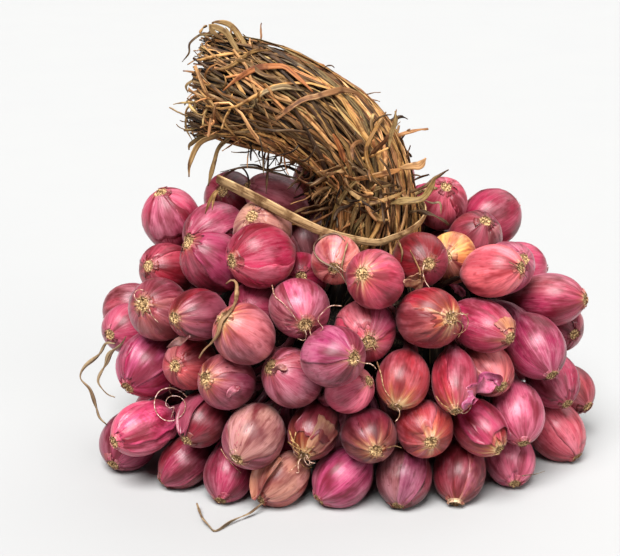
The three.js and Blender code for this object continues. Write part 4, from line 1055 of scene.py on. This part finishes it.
def dried_leaf():
    """Sun-dried shallot leaf: straw to brown, dull, with fibres along it about 0.7 mm apart, darker patches
    where it bent, and a faint gloss on the ribs that is painted in as a paler straw colour."""
    material, tree = new_material("sun_dried_leaf")
    tone = add(tree, "Attribute", attribute_name="tone")
    place = add(tree, "Attribute", attribute_name="grain").outputs["Vector"]
    along = add(tree, "Mapping", {"Vector": place, "Scale": (1, 0.05, 1)})
    broad = add(tree, "Mapping", {"Vector": place, "Scale": (0.5, 0.5, 1)})
    fibres = add(tree, "TexNoise", {"Vector": along, "Scale": 1.5, "Detail": 3.0, "Roughness": 0.65})
    patches = add(tree, "TexNoise", {"Vector": broad, "Scale": 0.25, "Detail": 3.0, "Roughness": 0.6})
    dark = add(tree, "Mix", {FACTOR: 1.0, FIRST: tone, SECOND: rgba("806248")}, **SHADE)
    light = add(tree, "Mix", {FACTOR: 0.4, FIRST: tone, SECOND: rgba("e2c494")}, **MIX)
    between = add(tree, "MapRange", {0: fibres, 1: 0.34, 2: 0.5, 3: 0.85, 4: 0.0}, **SOFT)
    leaf = add(tree, "Mix", {FACTOR: between, FIRST: tone, SECOND: dark}, **MIX)
    # Painted gloss: the ribs are mixed towards a pale straw colour.
    ribs = add(tree, "MapRange", {0: fibres, 1: 0.54, 2: 0.7, 4: 0.7}, **SOFT)
    leaf = add(tree, "Mix", {FACTOR: ribs, FIRST: leaf, SECOND: light}, **MIX)
    bent = add(tree, "MapRange", {0: patches, 1: 0.48, 2: 0.66, 4: 0.8}, **SOFT)
    leaf = add(tree, "Mix", {FACTOR: bent, FIRST: leaf, SECOND: dark}, **MIX)
    bump = add(tree, "Bump", {"Strength": 0.6, "Distance": 0.0003, "Height": fibres})
    surface = add(tree, "BsdfPrincipled", {
        "Base Color": leaf, "Roughness": 0.6, "IOR": 1.45, "Specular IOR Level": 0.3, "Normal": bump})
    add(tree, "OutputMaterial", {"Surface": surface})
    return material


def white_board():
    """White board: matt, a little grey."""
    material, tree = new_material("white_board")
    place = add(tree, "TexCoord").outputs["Object"]
    uneven = add(tree, "TexNoise", {"Vector": place, "Scale": 9.0, "Detail": 2.0})
    shade = add(tree, "Mix", {FACTOR: uneven, FIRST: rgba("a4a4a4"), SECOND: rgba("a6a6a5")}, **MIX)
    surface = add(tree, "BsdfPrincipled", {
        "Base Color": shade, "Roughness": 1.0, "Specular IOR Level": 0.1})
    add(tree, "OutputMaterial", {"Surface": surface})
    return material


SKIN, PLATE, ROOT, LEAF = shallot_skin(), root_plate(), dried_root(), dried_leaf()

# Making the bulbs
forms = {id(b): bulb_form(b, neck_end(b, [o for o in packed if o is not b]), i) for i, b in enumerate(packed)}
PATCH_TONES = ["a05468", "8e3048", "a07068", "84405a", "a0584a", "7c2440", "94706a"]
# The grid of points, one more than the most layers of loose skin, the flakes round the root and the root
# stubs: of a bulb seen from the front, and of one at the back.
SEEN_BULB, BACK_BULB = ((66, 34), 3, 7, 38), ((38, 20), 2, 4, 16)
LAYER_LIFT, FLAKE_LIFT, FLAP_LIFT = 0.14, 0.12, 0.3
stubs = {"front": [], "back": []}
for node, bulbs in held.items():
    shapes = []
    for b in bulbs:
        form = forms[id(b)]
        seen = b.sight is not None
        draw = np.random.default_rng(SEED + LAYER_STEP * form["number"])
        grid, layers, flakes, stub_count = SEEN_BULB if seen else BACK_BULB
        shapes.append(bulb_shape(form, *grid))
        for _ in range(draw.integers(0, layers)):
            middle, half_angle = draw.uniform(0, 2 * math.pi), draw.uniform(0.4, 1.4)
            start, stop = draw.uniform(PLATE_END, PLATE_END + 0.12), draw.uniform(0.75, 0.96)
            patch_tone = colour(PATCH_TONES[draw.integers(0, len(PATCH_TONES))])
            curl, share = draw.uniform(0, 0.5) ** 2, draw.uniform(0.1, 0.45)
            shapes.append(skin_patch(form, middle, half_angle, start, stop, LAYER_LIFT, curl, patch_tone,
                                     share, draw))
        for _ in range(flakes):
            start = PLATE_END + draw.uniform(-0.03, 0.02)
            middle, half_angle = draw.uniform(0, 2 * math.pi), draw.uniform(0.2, 0.5)
            stop, curl = start + draw.uniform(0.05, 0.11), draw.uniform(0.1, 0.7)
            share = draw.uniform(0.1, 0.5)
            shapes.append(skin_patch(form, middle, half_angle, start, stop, FLAKE_LIFT, curl, BUFF, share,
                                     draw, FLAKE_GRID))
        rows = stubs["front" if seen else "back"]
        rows.append(root_stubs(form, draw, stub_count))
        if b.look[5]:
            rows.append(root_threads(form, draw, b.look[5]))
    make_piece("skins_" + node, shapes, [SKIN, PLATE], [node])

# Torn and folded skins that stand out, by the bulb and the pixel that each is seen at: half its angle, how
# far it reaches towards the root and the neck, its curl at the root edge and the neck edge in mm, its colour
# and how much of it shows.
FLAPS = [
    (35, (486, 392), 0.75, 0.2, 0.12, 1.0, 6.0, "a83c70", 0.8),
    (35, (484, 405), 1.3, 0.2, 0.3, 1.6, 0.5, "9c2c54", 0.7),
    (36, (483, 398), 0.6, 0.22, 0.12, 2.6, 4.0, "a84078", 0.8),
    (35, (478, 415), 0.5, 0.25, 0.3, 0.6, 0.2, "a4204c", 0.5),
    (38, (262, 480), 0.4, 0.3, 0.2, 3.6, 2.0, "b87c62", 0.9),
    (38, (285, 478), 0.8, 0.2, 0.25, 0.5, 0, "b08470", 0.6),
    (32, (322, 412), 0.8, 0.2, 0.2, 0.5, 0, "6c2030", 0.6),
    (32, (320, 440), 0.5, 0.1, 0.14, 0.7, 0.5, "a88468", 0.6),
    (30, (190, 405), 0.5, 0.25, 0.2, 1.6, 0, "98405c", 0.5),
    (29, (135, 432), 0.9, 0.1, 0.35, 1.2, 0, "8c1c44", 0.5),
    (29, (160, 415), 0.7, 0.3, 0.2, 0.8, 0, "b83468", 0.5),
    (10, (519, 301), 0.7, 0.05, 0.06, 0.7, 0, "a8754e", 0.8),
    (17, (508, 322), 0.9, 0.05, 0.05, 0.4, 0, "b08450", 0.6),
    (16, (405, 290), 0.6, 0.2, 0.25, 0.3, 0, "a03c34", 0.5),
    (2, (200, 226), 0.8, 0.1, 0.4, 0.9, 0, "a84868", 0.4),
    (3, (215, 248), 0.9, 0.12, 0.45, 0.7, 0, "9c3860", 0.5),
    (22, (160, 345), 0.6, 0.3, 0.2, 0.5, 0, "a85878", 0.5),
    (37, (180, 470), 0.7, 0.3, 0.3, 0.5, 0, "7c1c40", 0.5),
    (7, (416, 279), 0.35, 0.08, 0.08, 2.2, 1.0, "b89070", 0.8),
    (31, (262, 420), 1.2, 0.4, 0.3, 0.3, 0, "a07468", 0.8),
    (1, (160, 200), 0.6, 0.1, 0.3, 0.6, 0, "a85c74", 0.5),
    (21, (378, 330), 0.6, 0.15, 0.3, 0.4, 0, "a04060", 0.5),
    (40, (412, 480), 0.5, 0.4, 0.2, 0.3, 0, "8c4060", 0.5),
    (41, (455, 500), 1.6, 0.02, 0.05, 1.2, 0, "c8b088", 0.8),
    (9, (480, 235), 0.6, 0.2, 0.3, 0.6, 0, "a85868", 0.5),
    (20, (333, 345), 0.8, 0.3, 0.3, 0.3, 0, "a83c70", 0.4),
]
draw = np.random.default_rng(SEED + 3)
flaps = []
for number, pixel, half_angle, to_root, to_neck, curl, neck_curl, tone, share in FLAPS:
    form = forms[id(front[number - 1])]
    if sight_runs([form["bulb"]], [pixel])[0, 0] < math.inf:
        angle, place = place_on(form, *pixel)
        flaps.append(skin_patch(form, angle, half_angle, place - to_root, place + to_neck, FLAP_LIFT, curl,
                                colour(tone), share, draw, FLAP_GRID, neck_curl))

# Scraps of skin and dry neck ends that lie across bulbs: colour, width, lift, pixels.
SCRAPS = [
    ("a83a62", 8.0, 1.6, [(470, 404), (473, 393), (482, 386), (495, 383)]),
    ("b04a74", 5.5, 3.0, [(478, 384), (485, 377), (497, 379), (500, 386)]),
    ("8c2c58", 5.0, 1.8, [(466, 410), (468, 400), (473, 391)]),
    ("a23c58", 4.6, 1.8, [(464, 297), (457, 289), (448, 283)]),
    ("8c6458", 4.0, 1.8, [(168, 348), (178, 342), (190, 336)]),
    ("b08860", 4.0, 1.4, [(404, 281), (412, 284), (421, 281)]),
    ("9c4858", 4.0, 1.5, [(228, 398), (233, 390), (240, 386)]),
    ("a07060", 3.6, 1.5, [(272, 372), (280, 367), (287, 369)]),
]
flaps += [
    drawn_leaf(draped(pixels, lift, 24), width, tone, draw, 24, FORWARD, 0.15, (0.5, 0.35), 0.9, -0.5)
    for tone, width, lift, pixels in SCRAPS]
make_piece("torn_skins", flaps, [SKIN], [])
make_piece("roots_front", stubs["front"], [ROOT], [])
make_piece("roots_back", stubs["back"], [ROOT], [])

# Making the leaf bundle
draw = np.random.default_rng(SEED + 2)
make_piece("bundle_leaves_outer", [
    bundle_leaves(draw, 140, (0.92, 1.01), (1.1, 3.0), 0.22, 0.028),
    bundle_leaves(draw, 95, (0.98, 1.04), (1.0, 2.9), 0.38, 0.03, PALE_LEAF_TONES + LEAF_TONES),
    bundle_leaves(draw, 40, (1.01, 1.06), (1.2, 3.2), 0.6, 0.03, PALE_LEAF_TONES)],
    [LEAF], ["leaf_bundle"])
# The inner leaves take near-black colours: painted shade inside the bundle.
make_piece("bundle_leaves_inner", [
    bundle_leaves(draw, 170, (0.8, 0.93), (1.4, 3.0), 0.25, 0.03, PAINTED_SHADE_LEAF_TONES, 16),
    bundle_leaves(draw, 170, (0.1, 0.75), (1.5, 3.0), 0.2, 0.03, LEAF_AND_PAINTED_SHADE_TONES, 12, (0.6, 0.8))],
    [LEAF], ["leaf_bundle"])
make_piece("bundle_core", [bundle_core(), heart_shape()], [LEAF], ["leaf_bundle"])
make_piece("bundle_tangle", [
    short_leaves(draw, 90, (0.3, 0.5), (-2.9, -0.2), 0.75, (14, 34), (1.0, 2.6), 0.3, MIXED_LEAF_TONES),
    short_leaves(draw, 50, (0.3, 0.5), (0.2, 3.0), 0.75, (14, 30), (1.0, 2.6), 0.3),
    short_leaves(draw, 110, (0.82, 0.98), (0, TURN), 0.5, (10, 21), (0.7, 1.9), 0.55, MIXED_LEAF_TONES,
                 0.6),
    short_leaves(draw, 80, (0.95, 1.0), (0, TURN), 0.7, (9, 20), (0.7, 1.6), 1.0, MIXED_LEAF_TONES, 0.8),
    # This row and the one after next lie on the under side of the bundle's arch; their near-black colours are
    # painted shade.
    short_leaves(draw, 70, (0.5, 0.92), (2.2, 4.1), 0.6, (12, 30), (0.6, 1.5), 0.5, LEAF_AND_PAINTED_SHADE_TONES),
    short_leaves(draw, 80, (0.46, 0.78), (2.5, 3.8), 0.7, (10, 26), (0.6, 1.3), 0.7, LEAF_TONES),
    short_leaves(draw, 80, (0.32, 0.5), (2.3, 4.0), 0.7, (12, 30), (0.7, 1.9), 0.4, LEAF_AND_PAINTED_SHADE_TONES),
    short_leaves(draw, 50, (0.45, 0.9), (-2.4, 2.2), 0.5, (6, 16), (0.5, 1.4), 0.4)],
    [LEAF], ["leaf_bundle"])

# Inside the bunch dry skins and old leaves fill what the necks leave open. Their near-black colours are
# painted shade.
count = 90
ends_x = np.sort(draw.uniform(-80, 80, count))
padding = np.stack([even_curve([
    (x, draw.uniform(-22, 26), draw.uniform(22, 40)), (x + draw.uniform(-9, 9), draw.uniform(-20, 24), 60),
    (0.9 * x, draw.uniform(-16, 20), 84), (0.75 * x + 3, draw.uniform(-12, 14), 102)], 9) for x in ends_x])
make_piece("painted_shade_leaves_inside", [
    blades(padding, padding * [0, 1, 0] + [0, -40, 0], draw.uniform(7, 12, (count, 1)), 0.5,
           np.full((count, 1), 0.3), wander(draw, count, np.linspace(0, 1, 9), 0.4, 1),
           leaf_tones(draw, count, PAINTED_SHADE_LEAF_TONES), draw.uniform(0, GRAIN_RANGE, count))],
    [LEAF], [])

# The dry necks go on from each bulb as a flat strand over the heart and up into the foot. Their near-black
# colours are painted shade.
strands = []
for form in forms.values():
    tip = form["centre"][-1]
    over = HEART * 0.9 * unit((tip - [0, 0, HEART_HEIGHT]) / HEART) + [0, 0, HEART_HEIGHT]
    foot = in_bundle(np.array([0.22]), np.array([math.atan2(tip[1], tip[0] - FOOT_X)]), np.array([0.7]))[0]
    strands.append(even_curve([form["centre"][-12], tip, over, (over + foot) / 2, foot], 10))
count = len(strands)
make_piece("neck_strands", [
    blades(np.array(strands), np.array(strands) - [0, 0, HEART_HEIGHT], draw.uniform(3, 6, (count, 1)), 0.5,
           np.full((count, 1), 0.3), wander(draw, count, np.linspace(0, 1, 10), 0.5, 1),
           leaf_tones(draw, count, PAINTED_SHADE_LEAF_TONES), draw.uniform(0, GRAIN_RANGE, count))],
    [LEAF], [])

# The tie and the loose leaves
TIE_HALF_WIDTH, TIE_HALF_DEPTH, TIE_HEIGHT, TIE_TILT, TIE_WIDTH = 25.6, 24.2, 125, 7, 6
TIE_TAIL = [(-62, -14, 148), (-45, -21, 141), (-28, -26, 133), (-10, -27.5, 125)]
turn = np.radians(np.arange(-92, 286, 20))
fall = np.maximum(0, np.arange(-92, 286, 20) - 120) * 0.06
round_foot = np.stack([
    FOOT_X + TIE_HALF_WIDTH * np.cos(turn), TIE_HALF_DEPTH * np.sin(turn),
    TIE_HEIGHT + TIE_TILT * np.cos(turn - math.radians(55)) - fall], axis=-1)
tie_points = np.vstack([TIE_TAIL, round_foot])
tie_path = even_curve(tie_points, 120)[None]
tie_facing = tie_path - [FOOT_X, 0, 0]
tie_facing[..., 2] = 0
tie_along = np.linspace(0, 1, 120)
tie_width = TIE_WIDTH * (0.95 - 0.3 * eased(0.05, 0.4, tie_along) + 0.05 * np.sin(14 * tie_along))[None]
make_piece("tie_leaf", [
    blades(tie_path, tie_facing, tie_width, 0.8, np.array([[0.25]]), 0.2 * np.sin(11 * tie_along)[None],
           np.append(colour("b8966a"), 1)[None], np.array([12.0]), 15, 0.07)], [LEAF], ["tie"])

LOOSE = {
    "dry_leaf_left_upper": ([(-106, -34, 75), (-109, -32, 70), (-114.5, -30, 65),
                             (-117, -29, 59), (-120.5, -29, 53), (-121, -29, 49),
                             (-117, -30, 44), (-113, -31, 42.5)], (0.1, -1, 0.15)),
    "dry_leaf_left_lower": ([(-112, -30, 70), (-117, -26, 68.5), (-121, -24, 62),
                             (-128.5, -22, 55), (-131, -22, 49), (-126.5, -22, 43),
                             (-124, -22, 34), (-122.5, -22, 28), (-119, -22, 24)], (0.1, -1, 0.15)),
    "dry_leaf_front": ([(-40, -71, 5), (-46, -76, 2.2), (-54, -83, 1.6), (-60.5, -91, 1),
                        (-64, -87, 1.2), (-68, -78, 1.8), (-71, -68, 3.5)], (0, 0.2, 1)),
}
for node, (points, facing) in LOOSE.items():
    leaf = drawn_leaf(points, 2.6, "8c765a", draw, 48, facing, LEAF_THICKNESS, (0.4, 0.3), 1.2, 0.3, 3.4)
    make_piece("loose_" + node, [leaf], [LEAF], [node])

# Leaves that cross the bundle, by the pixels that they pass in the photograph: colour, width, pixels.
CROSSING = [
    ("9a5b2f", 2.7, [(223, 91), (237, 79), (257, 68), (282, 66), (288, 69), (300, 79), (313, 92)]),
    ("76603f", 2.6, [(232, 125), (247, 111), (261, 94), (276, 88), (287, 87), (304, 91)]),
    ("865b38", 2.8, [(261, 141), (269, 125), (287, 110), (304, 99), (314, 97), (331, 92), (345, 90),
                     (359, 94), (368, 104)]),
    ("946234", 2.6, [(344, 175), (354, 179), (369, 177), (387, 173), (406, 168)]),
    ("a07c4d", 3.0, [(344, 186), (361, 199), (378, 218), (389, 220)]),
    ("884c22", 2.6, [(333, 134), (340, 148), (345, 163)]),
    ("7c6238", 2.4, [(330, 230), (338, 205), (352, 185), (372, 172)]),
    ("725934", 2.6, [(350, 232), (356, 210), (371, 192), (392, 184)]),
    ("8e6a3b", 2.2, [(332, 196), (350, 204), (372, 203), (395, 196), (406, 190)]),
    ("5c4328", 2.2, [(348, 160), (362, 172), (381, 183), (400, 186)]),
    ("805928", 2.0, [(386, 112), (376, 128), (366, 150), (372, 172), (384, 190)]),
    ("6a4c29", 2.0, [(228, 60), (246, 62), (262, 74), (282, 78)]),
    ("8a6638", 1.8, [(212, 70), (230, 66), (252, 52), (270, 50)]),
]
crossing = [drawn_leaf([on_bundle(x, y, 1.6) for x, y in pixels], width, tone, draw)
            for tone, width, pixels in CROSSING]
make_piece("crossing_leaves", crossing, [LEAF], ["leaf_bundle"])

# Free ends in the air round the bundle: colour, width, depth behind the middle plane, pixels.
FREE_ENDS = [
    ("a87c4f", 3.6, -18, [(400, 168), (413, 166), (420, 165), (426, 158)]),
    ("8c7142", 3.4, -20, [(388, 204), (402, 201), (421, 199), (430, 189), (436, 176)]),
    ("8c6f46", 2.6, -12, [(244, 60), (234, 45), (225, 32), (211, 26), (214, 33), (226, 42)]),
    ("9a7a4d", 2.6, -8, [(252, 62), (243, 42), (230, 25), (214, 22), (212, 26)]),
    ("6a5438", 1.0, -10, [(206, 40), (202, 34), (190, 43), (189, 53), (182, 62)]),
    ("8a6a40", 2.6, -14, [(236, 128), (225, 134), (201, 142), (190, 163), (189, 177)]),
    ("7c5f38", 2.2, -10, [(238, 132), (220, 146), (214, 163), (208, 186)]),
    ("7a603b", 2.4, -4, [(214, 134), (200, 138), (190, 145), (189, 150)]),
    ("5a3f29", 1.2, 0, [(269, 144), (268, 163), (267, 180), (266, 194)]),
    ("4c3624", 1.2, -4, [(220, 172), (249, 167), (276, 173), (300, 180), (311, 186), (325, 190)]),
    ("523c28", 1.3, 3, [(240, 165), (256, 165), (268, 170), (284, 166), (300, 173), (318, 186)]),
    ("4a3422", 1.0, 5, [(216, 181), (238, 168), (246, 172), (249, 183), (246, 192)]),
    ("8c7146", 2.2, -16, [(389, 148), (391, 134), (396, 121), (395, 111)]),
    ("7c623d", 1.2, -12, [(204, 74), (192, 81), (186, 86), (188, 93)]),
    ("7c623d", 1.2, -12, [(204, 92), (196, 103), (194, 112), (187, 116), (186, 128), (192, 140)]),
    ("7a664b", 1.0, -14, [(424, 200), (432, 203), (440, 203), (441, 214)]),
    ("9a7546", 1.4, -20, [(205, 214), (212, 196), (218, 190), (214, 197), (212, 210)]),
]
free = [drawn_leaf([at_pixel(x, y, depth) for x, y in pixels], width, tone, draw, 20, (0.2, -1, 0.2), 0.4)
        for tone, width, depth, pixels in FREE_ENDS]
make_piece("free_leaf_ends", free, [LEAF], ["leaf_bundle"])


# Thin leaves that lie on the bulbs: colour, width, lift, pixels.
ON_BULBS = [
    ("70594a", 1.2, 1.6, [(345, 241), (338, 234), (330, 234), (322, 237), (315, 243), (314, 251),
                          (318, 258), (325, 263), (333, 267), (339, 272), (344, 279), (347, 285)]),
    ("7c6446", 1.0, 1.2, [(348, 242), (346, 248), (344, 256), (342, 266), (343, 277)]),
    ("8a6848", 2.6, 1.8, [(226, 284), (231, 280), (236, 282), (237, 290), (235, 303), (228, 313),
                          (221, 321), (218, 333), (212, 342), (204, 350), (199, 358)]),
    ("90663f", 1.3, 1.2, [(410, 250), (416, 262), (420, 272), (419, 282), (415, 287)]),
    ("6c5030", 1.4, 1.4, [(398, 240), (402, 252), (401, 262)]),
]
lying = [drawn_leaf(draped(pixels, lift, 40), width, tone, draw, 40, FORWARD, LEAF_THICKNESS, (0.4, 0.3),
                    0.9, 0.2, 2.2) for tone, width, lift, pixels in ON_BULBS]
make_piece("leaves_on_bulbs", lying, [LEAF], [])

# Long root threads: colour, thickness, lift, pixels.
THREADS = [
    ("c8a090", 0.34, 1.6, [(272, 285), (275, 296), (283, 303), (291, 312), (297, 321)]),
    ("c8a494", 0.3, 1.4, [(342, 306), (331, 306), (323, 312), (318, 320), (323, 328), (320, 331)]),
    ("b08868", 0.3, 1.6, [(454, 316), (462, 313), (468, 319), (466, 329), (459, 334), (453, 333)]),
    ("b08c68", 0.34, 1.6, [(452, 320), (460, 322), (463, 328), (458, 338)]),
    ("b8906c", 0.4, 1.4, [(377, 362), (381, 374), (384, 388), (391, 399), (398, 411)]),
    ("a88860", 0.34, 1.8, [(398, 411), (391, 412), (386, 408)]),
    ("c0987c", 0.3, 1.2, [(221, 449), (226, 457), (233, 465), (241, 473)]),
    ("a88050", 0.42, 1.6, [(289, 430), (294, 442), (302, 450), (312, 455)]),
    ("b08a58", 0.36, 2.0, [(291, 440), (299, 447), (299, 459), (306, 468), (312, 467)]),
    ("a07a4c", 0.4, 1.5, [(288, 442), (297, 448), (308, 449), (315, 446)]),
    ("b89464", 0.3, 1.8, [(296, 432), (293, 447), (300, 455), (297, 463)]),
    ("705c44", 0.26, 1.4, [(509, 262), (516, 266), (523, 272), (528, 279)]),
    ("7c6c54", 0.3, 1.5, [(522, 476), (528, 475), (536, 474), (545, 471)]),
    ("c09a84", 0.3, 1.4, [(170, 385), (170, 392), (175, 398)]),
    ("c8a898", 0.28, 1.3, [(330, 292), (336, 297), (345, 296)]),
    ("a07850", 0.34, 1.6, [(436, 396), (442, 404), (450, 409), (446, 412)]),
    ("987650", 0.3, 1.4, [(388, 448), (395, 446), (402, 448)]),
    ("dcb8b0", 0.32, 2.2, [(187, 397), (180, 391), (170, 388), (160, 391), (155, 399), (155, 409),
                           (160, 417), (168, 421), (177, 419), (184, 412), (185, 403), (180, 397),
                           (172, 396), (167, 399), (166, 405), (170, 408), (174, 407), (173, 412),
                           (171, 418)]),
]
roots_seen = []
for tone, radius, lift, pixels in THREADS:
    path = draped(pixels, lift, 6 * len(pixels) + 2)[None]
    thinning = 1 - 0.6 * np.linspace(0, 1, path.shape[1])
    roots_seen.append(threads(path, radius * thinning, np.append(colour(tone), 1)[None],
                              draw.uniform(0, ROOT_GRAIN_RANGE, 1)))
make_piece("long_roots", roots_seen, [ROOT], [])


# Stage
def make_camera():
    """The camera stands where the photograph was taken from and looks at the middle of its picture."""
    data = bpy.data.cameras.new("camera")
    data.sensor_width = 36
    data.lens = data.sensor_width * FOCAL_PIXELS / FRAME_WIDTH
    data.clip_start, data.clip_end = 0.01, 50
    camera = bpy.data.objects.new("camera", data)
    camera.location = Vector((EYE + MOVED) * MM)
    camera.rotation_euler = Vector(-VIEW_BACK).to_track_quat("-Z", "Y").to_euler()
    bpy.context.scene.collection.objects.link(camera)
    bpy.context.scene.camera = camera


def make_sun(name, direction, width, power):
    """A light that comes evenly from a direction, as wide across the sky as an angle in degrees."""
    data = bpy.data.lights.new(name, "SUN")
    data.energy, data.angle = power, math.radians(width)
    light = bpy.data.objects.new(name, data)
    light.rotation_euler = Vector(-np.array(direction, float)).to_track_quat("-Z", "Y").to_euler()
    bpy.context.scene.collection.objects.link(light)


def make_floor():
    """A large white board under the bunch."""
    mesh = bpy.data.meshes.new("floor")
    mesh.from_pydata([(-6, -6, 0), (6, -6, 0), (6, 6, 0), (-6, 6, 0)], [], [(0, 1, 2, 3)])
    mesh.materials.append(white_board())
    floor = bpy.data.objects.new("floor", mesh)
    bpy.context.scene.collection.objects.link(floor)


make_camera()
make_floor()
make_sun("top_light", (-0.2, -0.6, 1.0), 36, 7.4)
make_sun("side_light", (0.75, -0.8, 0.55), 40, 0.95)
make_sun("back_light", (0.5, 0.7, 1.0), 60, 1.3)
world = bpy.data.worlds.new("studio")
world.use_nodes = True
world.node_tree.nodes["Background"].inputs["Color"].default_value = (1, 1, 1, 1)
world.node_tree.nodes["Background"].inputs["Strength"].default_value = 0.1
bpy.context.scene.world = world
bpy.context.scene.view_settings.view_transform = "Standard"
